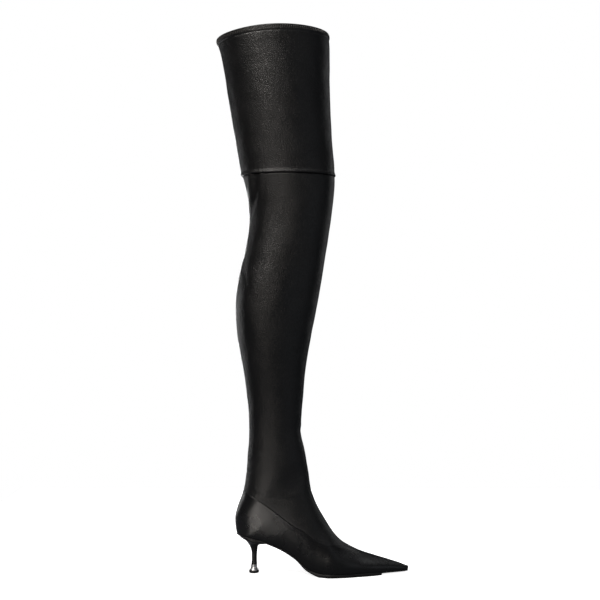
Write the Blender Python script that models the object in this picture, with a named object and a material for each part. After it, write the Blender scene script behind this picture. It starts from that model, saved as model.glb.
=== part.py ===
"""Thigh high boot for the right foot.

Pull-on boot of black stretch leather with a long pointed toe and a low covered
heel on a bright ring. Metres, Z up, toe along X, outer side along minus Y.
The origin is on the floor, under the middle of the heel tip.

Upper and shaft share one skin: a chain of flat sections that lie across the
foot, fan round the heel and then climb the leg. Each section is named by a
row of the tables below.
"""

import math

import bmesh
import bpy
import numpy as np
from mathutils import Vector

for item in list(bpy.data.objects):
    bpy.data.objects.remove(item, do_unlink=True)

# Driving sizes of the foot
FOOT_LENGTH = 0.259       # back of the heel to the tip of the toe
HEEL_BACK = 0.0281        # heel tip's middle to the back of the heel
HEEL_HEIGHT = 0.0598      # floor to the upper's edge at the back
BALL_WIDTH = 0.075        # widest part of the upper
ANKLE_RISE = 0.1522       # upper's edge at the back to the ankle section

# Driving sizes of the leg
LEG_HEIGHT = 0.5840       # ankle section to the back of the collar
LEG_DEPTH = 0.1695        # front to back at the collar
LEG_WIDTH = 0.142         # side to side at the collar

# Thicknesses
GAP = 0.0003              # between pieces that meet
FOOT_WALL = 0.0018        # leather, lining and stiffener of the foot part
SHAFT_WALL = 0.0012       # stretch leather on its backing
LAP = 0.0005              # foot part and thigh panel stand proud of the calf
SOLE_BALL = 0.0053        # outsole with its tread at the ball
INSOLE = 0.0016           # insole board with its sock
HEM_HEIGHT = 0.009        # turned hem at the collar
HEM_WALL = 0.0022         # hem, two layers
LASTING = 0.009           # width of the margin turned in under the foot
SOLE_OVERHANG = 0.0006    # outsole past the upper's edge

# Heel, ring and tip
STEM_HEIGHT = 0.0122      # floor to the bottom of the covered heel
HEEL_SEAT_WIDTH = 0.0455  # covered heel where it meets the sole
HEEL_SEAT_LENGTH = 0.0450
RING_WIDTH = 0.0135       # bright ring at its foot
RING_FOOT = 0.0038        # floor to the bottom of the ring
TIP_WIDTH = 0.0150        # rubber tip on the floor

# Mesh fineness
FLAT_STEPS = 2            # across half of the flat bottom
SIDE_STEPS = 11           # up one side of a section
ROUND_STEPS = 32          # round the heel, ring and tip


def table(names, *rows):
    """Columns by name, from rows of numbers."""
    return {name: np.array(column, float) for name, column in zip(names.split(), zip(*rows))}


# Foot sections from the toe, along the sole to the heel, then up the heel's back.
# along and depth are shares of FOOT_LENGTH, lift of HEEL_HEIGHT over the tread,
# rise of ANKLE_RISE, tilt is in degrees. The edges (flat bottom), sides (widest
# half widths) and sway are shares of BALL_WIDTH, widest is a share of depth.
# low and high are the roundness exponents under and over the widest point.
FOOT = table(
    "along  lift    rise   depth   tilt  sway   edge_out edge_in side_out side_in widest low  high",
    (0.9985, -0.028, 0.000, 0.0205, 88.0, 0.027, 0.018,  0.018,  0.030,  0.030,  0.45, 2.0, 2.0),
    (0.9826, -0.029, 0.000, 0.0258, 90.0, 0.027, 0.050,  0.052,  0.066,  0.067,  0.36, 2.0, 2.0),
    (0.9483, -0.024, 0.000, 0.0373, 88.8, 0.025, 0.099,  0.103,  0.117,  0.121,  0.32, 2.0, 2.0),
    (0.8903, -0.015, 0.000, 0.0526, 87.9, 0.021, 0.171,  0.178,  0.193,  0.200,  0.30, 2.0, 2.0),
    (0.8035, -0.002, 0.000, 0.0748, 87.0, 0.015, 0.290,  0.285,  0.318,  0.313,  0.28, 1.9, 1.9),
    (0.7108, 0.000,  0.000, 0.1046, 86.8, 0.008, 0.370,  0.392,  0.403,  0.424,  0.27, 1.8, 1.8),
    (0.6104, 0.000,  0.000, 0.1538, 83.8, 0.003, 0.443,  0.442,  0.487,  0.490,  0.27, 1.8, 1.8),
    (0.5448, 0.000,  0.000, 0.2019, 80.3, 0.000, 0.459,  0.350,  0.502,  0.470,  0.29, 1.8, 1.8),
    (0.4946, 0.000,  0.000, 0.2437, 76.5, 0.000, 0.411,  0.268,  0.483,  0.453,  0.32, 1.8, 1.9),
    (0.4251, 0.090,  0.000, 0.2885, 71.4, 0.000, 0.346,  0.217,  0.455,  0.440,  0.36, 1.7, 1.9),
    (0.3556, 0.393,  0.000, 0.2997, 64.9, 0.000, 0.315,  0.211,  0.440,  0.428,  0.39, 1.7, 2.0),
    (0.2822, 0.618,  0.000, 0.3320, 58.3, 0.000, 0.312,  0.244,  0.433,  0.427,  0.41, 1.7, 2.0),
    (0.2050, 0.784,  0.000, 0.3800, 52.0, 0.000, 0.324,  0.296,  0.427,  0.427,  0.43, 1.7, 2.0),
    (0.1239, 0.906,  0.000, 0.4447, 46.3, 0.000, 0.320,  0.317,  0.420,  0.420,  0.45, 1.7, 2.0),
    (0.0622, 0.963,  0.000, 0.4973, 42.7, 0.000, 0.280,  0.280,  0.416,  0.416,  0.46, 1.8, 2.0),
    (0.0313, 0.991,  0.000, 0.5233, 41.0, 0.000, 0.188,  0.188,  0.414,  0.414,  0.46, 1.9, 2.0),
    (0.0120, 1.000,  0.000, 0.5403, 40.1, 0.000, 0.040,  0.040,  0.413,  0.413,  0.46, 2.1, 2.0),
    (0.0035, 1.000,  0.060, 0.5315, 37.9, 0.000, 0.000,  0.000,  0.413,  0.413,  0.46, 2.2, 2.0),
    (0.0000, 1.000,  0.146, 0.5123, 34.9, 0.000, 0.000,  0.000,  0.414,  0.414,  0.46, 2.2, 2.0),
    (0.0158, 1.000,  0.264, 0.4690, 31.4, 0.000, 0.000,  0.000,  0.417,  0.417,  0.47, 2.1, 2.0),
    (0.0440, 1.000,  0.396, 0.4140, 27.2, 0.000, 0.000,  0.000,  0.423,  0.423,  0.48, 2.0, 2.0),
    (0.0598, 1.000,  0.560, 0.3688, 20.4, 0.000, 0.000,  0.000,  0.430,  0.430,  0.49, 2.0, 2.0),
    (0.0722, 1.000,  0.803, 0.3247,  8.1, 0.000, 0.000,  0.000,  0.425,  0.425,  0.50, 2.0, 2.0),
)

# Leg sections. height is a share of LEG_HEIGHT. back, front, slope (how much
# higher the front is) and crest (how much higher the sides are) are shares of
# LEG_DEPTH, the sides of LEG_WIDTH.
LEG = table(
    "height back    front  slope  crest  side_out side_in widest low  high",
    (0.000, -0.042, 0.412, 0.000, 0.000, 0.222,  0.224,  0.50,  2.0, 2.0),
    (0.061, -0.052, 0.432, 0.000, 0.000, 0.240,  0.244,  0.50,  2.0, 2.0),
    (0.123, -0.078, 0.447, 0.000, 0.000, 0.271,  0.279,  0.48,  2.0, 2.0),
    (0.185, -0.114, 0.470, 0.000, 0.000, 0.310,  0.324,  0.46,  2.0, 2.0),
    (0.246, -0.154, 0.507, 0.000, 0.000, 0.347,  0.364,  0.45,  2.0, 1.95),
    (0.308, -0.171, 0.554, 0.000, 0.000, 0.365,  0.385,  0.44,  2.0, 1.95),
    (0.369, -0.158, 0.589, 0.000, 0.000, 0.369,  0.385,  0.45,  2.0, 1.95),
    (0.431, -0.102, 0.624, 0.000, 0.000, 0.363,  0.376,  0.47,  2.05, 2.0),
    (0.493, -0.061, 0.659, 0.000, 0.000, 0.363,  0.371,  0.49,  2.1, 2.05),
    (0.554, -0.038, 0.690, 0.000, 0.000, 0.371,  0.377,  0.50,  2.1, 2.1),
    (0.606, -0.060, 0.709, 0.000, 0.000, 0.380,  0.384,  0.50,  2.1, 2.1),
    (0.652, -0.109, 0.716, 0.000, 0.000, 0.386,  0.388,  0.50,  2.05, 2.1),
    (0.698, -0.134, 0.700, 0.000, 0.000, 0.396,  0.396,  0.50,  2.0, 2.05),
    (0.766, -0.176, 0.686, 0.008, 0.000, 0.419,  0.417,  0.50,  2.0, 2.0),
    (0.834, -0.215, 0.675, 0.017, 0.002, 0.443,  0.439,  0.50,  2.0, 2.0),
    (0.903, -0.252, 0.668, 0.028, 0.006, 0.468,  0.461,  0.50,  1.97, 2.05),
    (0.963, -0.290, 0.667, 0.040, 0.010, 0.489,  0.480,  0.50,  1.94, 2.1),
    (1.000, -0.334, 0.664, 0.048, 0.013, 0.501,  0.493,  0.50,  1.94, 2.1),
)
CORNER_ROW = 16           # foot row at the back edge of the heel seat
ANKLE_ROW = len(FOOT["along"])
KNEE_ROW = ANKLE_ROW + 11
COLLAR_ROW = ANKLE_ROW + len(LEG["height"]) - 1

# Outsole along the foot. along is a share of FOOT_LENGTH, thick (its thickness
# outside the tread) and bevel (how far its lower edge is drawn in) of SOLE_BALL.
SOLE = table(
    "along thick bevel",
    (0.00, 0.30, 0.22),
    (0.12, 0.34, 0.20),
    (0.22, 0.40, 0.16),
    (0.30, 0.48, 0.14),
    (0.37, 0.54, 0.14),
    (0.41, 0.57, 0.14),
    (0.435, 0.72, 0.14),
    (0.49, 1.00, 0.14),
    (0.84, 0.46, 0.10),
    (0.92, 0.40, 0.08),
    (1.00, 0.34, 0.08),
)
TREAD_BACK = 0.485        # share of FOOT_LENGTH where the tread meets the floor
TREAD_FRONT = 0.841       # share of FOOT_LENGTH where the tread ends in a step

# Top line of the foot part, seen from the side. along is a share of
# FOOT_LENGTH, lift of HEEL_HEIGHT over the tread, rise of ANKLE_RISE.
TOP_LINE = table(
    "along  lift  rise",
    (-0.300, 1.00, 0.500),
    (0.0448, 1.00, 0.420),
    (0.0749, 1.00, 0.405),
    (0.1583, 1.00, 0.335),
    (0.2432, 1.00, 0.232),
    (0.3687, 0.94, 0.105),
    (0.4850, 0.66, 0.072),
    (0.5622, 0.58, 0.062),
    (0.6139, 0.51, 0.058),
    (0.6757, 0.46, 0.058),
    (0.7450, 0.46, 0.058),
    (0.9000, 0.80, 0.058),
    (1.3000, 1.00, 0.058),
)

# Covered heel from the bottom. back_x, front_x and half are shares of the
# seat's length and half width, back_z and front_z of HEEL_HEIGHT.
HEEL = table(
    "back_x  back_z front_x front_z half   front_nose",
    (-0.088, 0.204, 0.100, 0.204, 0.190, 2.0),
    (-0.073, 0.334, 0.098, 0.334, 0.175, 2.0),
    (-0.073, 0.465, 0.100, 0.451, 0.178, 2.0),
    (-0.098, 0.580, 0.113, 0.560, 0.215, 2.0),
    (-0.138, 0.660, 0.124, 0.627, 0.265, 2.1),
    (-0.215, 0.750, 0.151, 0.681, 0.375, 2.2),
    (-0.310, 0.836, 0.211, 0.712, 0.570, 2.4),
    (-0.410, 0.897, 0.320, 0.742, 0.850, 2.7),
    (-0.490, 0.945, 0.440, 0.757, 0.975, 3.0),
    (-0.520, 1.050, 0.467, 0.860, 1.000, 3.0),
)

# Turned pieces from the bottom. radius is a share of the half width, height of
# the piece's own height.
RING = table(
    "radius height",
    (0.97, 0.00),
    (1.00, 0.03),
    (0.99, 0.10),
    (0.82, 0.27),
    (0.71, 0.46),
    (0.650, 0.62),
    (0.635, 0.66),
    (0.665, 0.70),
    (0.670, 0.94),
    (0.645, 1.00),
)
TIP = table(
    "radius height",
    (0.955, 0.00),
    (1.000, 0.14),
    (0.985, 0.60),
    (0.915, 1.00),
)

TREAD = SOLE_BALL + GAP
ANKLE_HEIGHT = HEEL_HEIGHT + ANKLE_RISE


def foot_x(along):
    """Place along the floor from a share of the foot's length."""
    return along * FOOT_LENGTH - HEEL_BACK


def foot_z(lift, rise):
    """Height of a foot row's low point."""
    return TREAD + lift * (HEEL_HEIGHT - TREAD) + rise * ANKLE_RISE


def skin_rows():
    """The whole chain of sections in metres, from toe to collar."""
    tilt = np.radians(FOOT["tilt"])
    foot_low_x = foot_x(FOOT["along"])
    foot_low_z = foot_z(FOOT["lift"], FOOT["rise"])
    leg_z = ANKLE_HEIGHT + LEG["height"] * LEG_HEIGHT
    level = np.zeros(len(LEG["height"]))
    rows = {
        "low_x": (foot_low_x, LEG["back"] * LEG_DEPTH),
        "low_z": (foot_low_z, leg_z),
        "high_x": (foot_low_x + FOOT["depth"] * FOOT_LENGTH * np.cos(tilt), LEG["front"] * LEG_DEPTH),
        "high_z": (foot_low_z + FOOT["depth"] * FOOT_LENGTH * np.sin(tilt), leg_z + LEG["slope"] * LEG_DEPTH),
        "sway": (FOOT["sway"] * BALL_WIDTH, level),
        "edge_out": (FOOT["edge_out"] * BALL_WIDTH, level),
        "edge_in": (FOOT["edge_in"] * BALL_WIDTH, level),
        "side_out": (FOOT["side_out"] * BALL_WIDTH, LEG["side_out"] * LEG_WIDTH),
        "side_in": (FOOT["side_in"] * BALL_WIDTH, LEG["side_in"] * LEG_WIDTH),
        "crest": (np.zeros(len(FOOT["along"])), LEG["crest"] * LEG_DEPTH),
        "widest": (FOOT["widest"], LEG["widest"]),
        "low": (FOOT["low"], LEG["low"]),
        "high": (FOOT["high"], LEG["high"]),
    }
    return {name: np.concatenate(parts) for name, parts in rows.items()}


def slopes(values):
    """Slope at each row of a column, so that the curve through it never overshoots."""
    step = np.diff(values)
    before, after = step[:-1], step[1:]
    same_way = before * after > 0
    inner = np.where(same_way, 2 * before * after / np.where(same_way, before + after, 1.0), 0.0)
    return np.concatenate(([step[0]], inner, [step[-1]]))


def glide(values, at):
    """Smooth value of a column at a row number, which may lie between two rows."""
    row = min(max(int(math.floor(at)), 0), len(values) - 2)
    t = at - row
    slope = slopes(values)
    return (
        values[row] * (1 + 2 * t) * (1 - t) ** 2
        + values[row + 1] * t * t * (3 - 2 * t)
        + slope[row] * t * (1 - t) ** 2
        - slope[row + 1] * t * t * (1 - t)
    )


SKIN = skin_rows()


def low_point(at):
    """Middle of the sole, or of the back of the heel and leg."""
    return Vector((glide(SKIN["low_x"], at), 0.0, glide(SKIN["low_z"], at)))


def high_point(at):
    """Middle of the vamp, instep or shin."""
    return Vector((glide(SKIN["high_x"], at), 0.0, glide(SKIN["high_z"], at)))


def inward(point, at, side):
    """Direction square to the outline, into the boot. side is 1 below and behind, else -1."""
    reach = 0.05
    ahead = at if at <= CORNER_ROW < at + reach else at + reach
    run = point(ahead) - point(at - reach)
    return Vector((side * run.z, 0.0, -side * run.x)).normalized()


def toe_draw(at, inset):
    """How far an inner section steps back at the toe, where the wall closes."""
    share = (foot_x(1.0) - glide(SKIN["low_x"], at)) / (0.15 * FOOT_LENGTH)
    return 1.5 * inset * max(0.0, 1.0 - share) ** 2


def section_ends(at, inset):
    """Low and high end of a section whose wall lies inset from the outline."""
    low, high = low_point(at), high_point(at)
    depth = (high - low).length
    along = (high - low) / depth
    low_move = inset / max(inward(low_point, at, 1).dot(along), 0.4)
    high_move = inset / max(-inward(high_point, at, -1).dot(along), 0.4)
    limit = 0.3 * depth
    back = Vector((toe_draw(at, inset), 0.0, 0.0))
    return low + along * min(low_move, limit) - back, high - along * min(high_move, limit) - back


def thinned(half, inset):
    """A half width less the wall, eased off where the section is narrow."""
    return half - inset * min(1.0, half / (0.25 * BALL_WIDTH))


def spread(points, steps):
    """The same curve as even steps."""
    lengths = np.concatenate(([0.0], np.cumsum(np.hypot(*np.diff(points, axis=0).T))))
    marks = np.linspace(0.0, lengths[-1], steps + 1)
    return np.column_stack([np.interp(marks, lengths, points[:, i]) for i in (0, 1)])


def half_section(edge, side, depth, widest, low, high):
    """Out and up of half a section, from its low end to its high end."""
    turn = np.linspace(0.0, math.pi / 2, 30)
    below = np.column_stack((
        edge + (side - edge) * np.sin(turn) ** (2 / low),
        widest * depth * (1 - np.cos(turn) ** (2 / low)),
    ))
    above = np.column_stack((
        side * np.cos(turn) ** (2 / high),
        depth * (widest + (1 - widest) * np.sin(turn) ** (2 / high)),
    ))
    curve = np.concatenate((below, above[1:]))
    if edge <= 0.0:
        return spread(curve, FLAT_STEPS + SIDE_STEPS)
    flat = np.column_stack((np.linspace(0.0, edge, FLAT_STEPS + 1), np.zeros(FLAT_STEPS + 1)))
    return np.concatenate((flat[:-1], spread(curve, SIDE_STEPS)))


def section(at, inset):
    """One closed section: up the outer side, then down the inner side."""
    low, high = section_ends(at, inset)
    depth = (high - low).length
    along = (high - low) / depth
    values = {name: glide(column, at) for name, column in SKIN.items()}
    sides = []
    for hand in ("out", "in"):
        edge = values["edge_" + hand] if at <= CORNER_ROW else 0.0
        sides.append(half_section(
            thinned(edge, inset),
            thinned(values["side_" + hand], inset),
            depth,
            values["widest"],
            values["low"],
            values["high"],
        ))
    halves = []
    for curve, way in zip(sides, (-1, 1)):
        widest = curve[:, 0].max()
        halves.append([
            low + along * up + Vector((0.0, values["sway"] + way * out, values["crest"] * (out / widest) ** 4))
            for out, up in curve
        ])
    return halves[0] + halves[1][-2:0:-1]


def places(first, last, per_row):
    """Row numbers from first to last, evenly spaced, about per_row to a row."""
    count = max(1, round((last - first) * per_row))
    return [first + (last - first) * i / count for i in range(count + 1)]


def material(name, colour, roughness, metallic=0.0, coat=0.0):
    """Plain surface of one colour."""
    made = bpy.data.materials.new(name)
    made.use_nodes = True
    shader = made.node_tree.nodes["Principled BSDF"]
    shader.inputs["Base Color"].default_value = (*colour, 1.0)
    shader.inputs["Roughness"].default_value = roughness
    shader.inputs["Metallic"].default_value = metallic
    shader.inputs["Coat Weight"].default_value = coat
    made.diffuse_color = (*colour, 1.0)
    return made


def add_object(name, build, surface):
    """A mesh object with its faces turned outward."""
    bmesh.ops.recalc_face_normals(build, faces=build.faces)
    mesh = bpy.data.meshes.new(name)
    build.to_mesh(mesh)
    build.free()
    made = bpy.data.objects.new(name, mesh)
    bpy.context.scene.collection.objects.link(made)
    if surface is not None:
        made.data.materials.append(surface)
        mesh.shade_smooth()
        mesh.set_sharp_from_angle(angle=math.radians(35))
    return made


def add_ring(build, points):
    return [build.verts.new(point) for point in points]


def skin_between(build, ring_a, ring_b):
    """Faces between two rings of as many points."""
    count = len(ring_a)
    for i in range(count):
        after = (i + 1) % count
        build.faces.new((ring_a[i], ring_a[after], ring_b[after], ring_b[i]))


def close_round(build, ring, bulge):
    """Close a ring with a fan of faces to a middle point."""
    middle = sum((vert.co for vert in ring), Vector()) / len(ring)
    tip = build.verts.new(middle + bulge)
    for i, vert in enumerate(ring):
        build.faces.new((vert, ring[(i + 1) % len(ring)], tip))


def stack(build, rings):
    """Rings joined one to the next."""
    made = [add_ring(build, ring) for ring in rings]
    for ring_a, ring_b in zip(made, made[1:]):
        skin_between(build, ring_a, ring_b)
    return made


def wall(name, outer, inner, surface, toe_bulge=None):
    """Hollow wall between outer and inner rings, with a rim at each open end."""
    build = bmesh.new()
    outside = stack(build, outer)
    inside = stack(build, inner)
    skin_between(build, outside[-1], inside[-1])
    if toe_bulge is None:
        skin_between(build, outside[0], inside[0])
    else:
        close_round(build, outside[0], toe_bulge)
        close_round(build, inside[0], toe_bulge * 0.3)
    return add_object(name, build, surface)


def solid(name, rings, surface):
    """Filled body through rings, closed flat at both ends."""
    build = bmesh.new()
    made = stack(build, rings)
    for ring in (made[0], made[-1]):
        build.faces.new(ring)
    return add_object(name, build, surface)


def prism(name, outline, half_width):
    """Cutter: a side view outline drawn out across the boot."""
    rings = [[Vector((x, side * half_width, z)) for x, z in outline] for side in (-1, 1)]
    made = solid(name, rings, None)
    hide_guide(made)
    return made


def hide_guide(made):
    made.hide_render = True
    made.display_type = "WIRE"


def cut(target, cutter):
    """Take the cutter's space out of the target."""
    step = target.modifiers.new("cut " + cutter.name, "BOOLEAN")
    step.operation = "DIFFERENCE"
    step.solver = "EXACT"
    step.object = cutter


def sole_level(at, drop, out):
    """Outer and inner point under the foot, drop below the upper's edge, out past it."""
    low = low_point(at) - inward(low_point, at, 1) * drop
    reach = 0.08 * FOOT_LENGTH
    behind = max(0.0, 1.0 - (low_point(at).x - foot_x(FOOT["along"][CORNER_ROW])) / reach)
    before = max(0.0, 1.0 - (foot_x(FOOT["along"][0]) - low_point(at).x) / reach)
    low.x += out * (before ** 2 - behind ** 2)
    sway = glide(SKIN["sway"], at)
    halves = [glide(SKIN["edge_" + hand], at) for hand in ("out", "in")]
    grow = [out * min(1.0, half / (0.1 * BALL_WIDTH)) for half in halves]
    return (
        low + Vector((0.0, sway - halves[0] - grow[0], 0.0)),
        low + Vector((0.0, sway + halves[1] + grow[1], 0.0)),
    )


def sole_value(name, at):
    """A column of the outsole's table at a place on the skin."""
    along = (low_point(at).x + HEEL_BACK) / FOOT_LENGTH
    row = np.interp(along, SOLE["along"], np.arange(len(SOLE["along"])))
    return glide(SOLE[name], row) * SOLE_BALL


def sole_ring(at, tread):
    """Outsole section: upper edge, rounded side and drawn in lower edge."""
    low = low_point(at)
    thick = low.z - GAP if tread else sole_value("thick", at)
    bevel = sole_value("bevel", at)
    levels = [
        sole_level(at, GAP, 0.3 * SOLE_OVERHANG),
        sole_level(at, GAP + 0.3 * thick, SOLE_OVERHANG),
        sole_level(at, GAP + 0.8 * thick, SOLE_OVERHANG - 0.4 * bevel),
        sole_level(at, GAP + thick, -bevel),
    ]
    if tread:
        for point in levels[-1]:
            point.z = 0.0
    return [outer for outer, _ in levels] + [inner for _, inner in reversed(levels)]


def insole_ring(at):
    """Insole section, lying on the upper's turned in margin."""
    up = inward(low_point, at, 1)
    bottom = section_ends(at, FOOT_WALL)[0] + up * GAP
    sway = glide(SKIN["sway"], at)
    clear = FOOT_WALL + 2 * GAP
    out_half, in_half = (glide(SKIN["edge_" + hand], at) - clear for hand in ("out", "in"))
    corners = ((0.0, -out_half), (1.0, -out_half), (1.0, in_half), (0.0, in_half))
    return [bottom + up * (INSOLE * level) + Vector((0.0, sway + half, 0.0)) for level, half in corners]


def window_ring(at):
    """Section of the opening under the foot, inside the lasting margin."""
    up = inward(low_point, at, 1)
    sway = glide(SKIN["sway"], at)
    halves = [max(glide(SKIN["edge_" + hand], at) - LASTING, GAP) for hand in ("out", "in")]
    low = section_ends(at, 0.5 * FOOT_WALL)[0]
    corners = ((-1.0, -halves[0]), (1.0, -halves[0]), (1.0, halves[1]), (-1.0, halves[1]))
    return [low + up * (1.2 * FOOT_WALL * level) + Vector((0.0, sway + half, 0.0)) for level, half in corners]


def heel_ring_points(row):
    """Section of the covered heel, round behind and flatter in front."""
    back = Vector((HEEL["back_x"][row] * HEEL_SEAT_LENGTH, 0.0, HEEL["back_z"][row] * HEEL_HEIGHT))
    front = Vector((HEEL["front_x"][row] * HEEL_SEAT_LENGTH, 0.0, HEEL["front_z"][row] * HEEL_HEIGHT))
    middle, reach = (back + front) / 2, (front - back) / 2
    half = HEEL["half"][row] * HEEL_SEAT_WIDTH / 2
    points = []
    for i in range(ROUND_STEPS):
        turn = 2 * math.pi * i / ROUND_STEPS
        nose = HEEL["front_nose"][row] if math.cos(turn) > 0 else 2.0
        ahead = math.copysign(abs(math.cos(turn)) ** (2 / nose), math.cos(turn))
        aside = math.copysign(abs(math.sin(turn)) ** (2 / nose), math.sin(turn))
        points.append(middle + reach * ahead + Vector((0.0, half * aside, 0.0)))
    return points


def turned(name, profile, half_width, bottom, top, surface):
    """Round piece about the heel's upright axis."""
    rings = []
    for radius, height in zip(profile["radius"], profile["height"]):
        level = bottom + (top - bottom) * height
        rings.append([
            Vector((
                half_width * radius * math.cos(2 * math.pi * i / ROUND_STEPS),
                half_width * radius * math.sin(2 * math.pi * i / ROUND_STEPS),
                level,
            ))
            for i in range(ROUND_STEPS)
        ])
    return solid(name, rings, surface)


LEATHER = material("black_leather", (0.012, 0.012, 0.013), 0.42, coat=0.15)
SOLE_LEATHER = material("black_sole_leather", (0.015, 0.014, 0.014), 0.5)
SOCK = material("dark_sock_leather", (0.03, 0.028, 0.027), 0.6)
METAL = material("bright_metal", (0.78, 0.78, 0.80), 0.16, metallic=1.0)
RUBBER = material("black_rubber", (0.02, 0.02, 0.02), 0.65)

# Top line between the foot part and the calf
line_rows = places(0, len(TOP_LINE["along"]) - 1, 3)
top_line = [
    Vector((
        foot_x(glide(TOP_LINE["along"], at)),
        0.0,
        foot_z(glide(TOP_LINE["lift"], at), glide(TOP_LINE["rise"], at)),
    ))
    for at in line_rows
]


def shifted_line(line, shift):
    """A side view line moved square to itself."""
    moved = []
    for i, point in enumerate(line):
        run = (line[min(i + 1, len(line) - 1)] - line[max(i - 1, 0)]).normalized()
        moved.append((point.x - run.z * shift, point.z + run.x * shift))
    return moved


CUT_HALF = BALL_WIDTH
above = shifted_line(top_line, -GAP / 2)
below = shifted_line(top_line, GAP / 2)
sky = ANKLE_HEIGHT + 0.3 * LEG_HEIGHT
ground = -HEEL_HEIGHT
over_line = prism("guide_over_top_line", above + [(above[-1][0], sky), (above[0][0], sky)], CUT_HALF)
under_line = prism("guide_under_top_line", below + [(below[-1][0], ground), (below[0][0], ground)], CUT_HALF)

# Foot part: closed at the toe, open at its top line and under the foot
foot_rows = places(0, CORNER_ROW, 2) + places(CORNER_ROW, CORNER_ROW + 5, 2)[1:]
upper_foot = wall(
    "upper_foot",
    [section(at, 0.0) for at in foot_rows],
    [section(at, FOOT_WALL) for at in foot_rows],
    LEATHER,
    toe_bulge=Vector((0.003 * FOOT_LENGTH, 0.0, 0.0)),
)
cut(upper_foot, over_line)
window_rows = places(3, CORNER_ROW - 2, 2)
window = solid("guide_window_under_foot", [window_ring(at) for at in window_rows], None)
hide_guide(window)
cut(upper_foot, window)

# Calf: from the top line over instep and ankle to the knee seam
knee_step = LEG["height"][KNEE_ROW - ANKLE_ROW] - LEG["height"][KNEE_ROW - ANKLE_ROW - 1]
knee_gap = 0.5 * GAP / (knee_step * LEG_HEIGHT)
calf_rows = places(5, CORNER_ROW, 2)
calf_rows += places(CORNER_ROW, ANKLE_ROW, 2)[1:]
calf_rows += places(ANKLE_ROW, KNEE_ROW - knee_gap, 1.5)[1:]
shaft_calf = wall(
    "shaft_calf",
    [section(at, LAP) for at in calf_rows],
    [section(at, LAP + SHAFT_WALL) for at in calf_rows],
    LEATHER,
)
cut(shaft_calf, under_line)

# Thigh panel: laps over the calf at the knee seam, hem turned in at the collar
collar_step = (LEG["height"][-1] - LEG["height"][-2]) * LEG_HEIGHT
hem_start = COLLAR_ROW - HEM_HEIGHT / collar_step
hem_full = hem_start + (HEM_WALL - SHAFT_WALL) / collar_step
thigh_rows = places(KNEE_ROW + knee_gap, hem_start, 2)
shaft_thigh = wall(
    "shaft_thigh",
    [section(at, 0.0) for at in thigh_rows + [COLLAR_ROW]],
    [section(at, SHAFT_WALL) for at in thigh_rows] + [section(at, HEM_WALL) for at in (hem_full, COLLAR_ROW)],
    LEATHER,
)

# Sole, insole and heel
step_row = np.interp(-TREAD_FRONT, -FOOT["along"][:CORNER_ROW], np.arange(CORNER_ROW))
meet_row = np.interp(-TREAD_BACK, -FOOT["along"][:CORNER_ROW], np.arange(CORNER_ROW))
sole_rings = [sole_ring(at, False) for at in places(0, step_row - 0.02, 3)]
sole_rings += [sole_ring(at, True) for at in places(step_row, meet_row, 2)]
sole_rings += [sole_ring(at, False) for at in places(meet_row, CORNER_ROW, 3)[1:]]
outsole = solid("outsole", sole_rings, SOLE_LEATHER)
insole_rows = places(1.5, CORNER_ROW - 0.5, 2)
insole = solid("insole", [insole_ring(at) for at in insole_rows], SOCK)

heel = solid("heel", [heel_ring_points(row) for row in range(len(HEEL["half"]))], LEATHER)
seat_rows = places(10, CORNER_ROW, 2)
seat_line = []
for at in seat_rows:
    point = low_point(at) - inward(low_point, at, 1) * (2 * GAP + sole_value("thick", at))
    seat_line.append((point.x, point.z))
seat_line.append((seat_line[-1][0] - HEEL_BACK, seat_line[-1][1]))
roof = 2 * HEEL_HEIGHT
over_heel = prism(
    "guide_over_heel",
    seat_line + [(seat_line[-1][0], roof), (seat_line[0][0], roof)],
    HEEL_SEAT_WIDTH,
)
cut(heel, over_heel)

turned("heel_ring", RING, RING_WIDTH / 2, RING_FOOT, STEM_HEIGHT - GAP, METAL)
turned("top_piece", TIP, TIP_WIDTH / 2, 0.0, RING_FOOT - GAP, RUBBER)
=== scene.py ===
"""Looks of the thigh high boot: leather, seams, sole, heel and ring, with camera and light.

The boot's own sizes and section tables are repeated here from the part's source,
so each detailed piece lies where its solid lies. Metres, Z up, toe along X,
outer side along minus Y.
"""

import math

import bmesh
import bpy
import mathutils
import numpy as np
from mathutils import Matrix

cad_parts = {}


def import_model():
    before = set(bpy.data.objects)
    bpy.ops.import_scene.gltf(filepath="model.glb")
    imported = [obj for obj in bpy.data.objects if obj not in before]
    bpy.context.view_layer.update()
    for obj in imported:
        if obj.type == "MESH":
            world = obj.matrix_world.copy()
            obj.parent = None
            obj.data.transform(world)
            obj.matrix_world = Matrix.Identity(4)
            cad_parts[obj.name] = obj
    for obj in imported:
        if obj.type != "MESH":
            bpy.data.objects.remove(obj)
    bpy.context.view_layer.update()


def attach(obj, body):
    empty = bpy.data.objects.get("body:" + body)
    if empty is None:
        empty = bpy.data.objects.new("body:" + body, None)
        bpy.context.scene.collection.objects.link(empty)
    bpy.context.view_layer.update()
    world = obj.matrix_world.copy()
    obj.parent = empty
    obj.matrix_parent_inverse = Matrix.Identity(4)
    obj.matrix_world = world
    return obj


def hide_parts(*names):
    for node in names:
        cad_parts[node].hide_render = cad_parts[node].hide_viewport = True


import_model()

MM = 0.001

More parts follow.
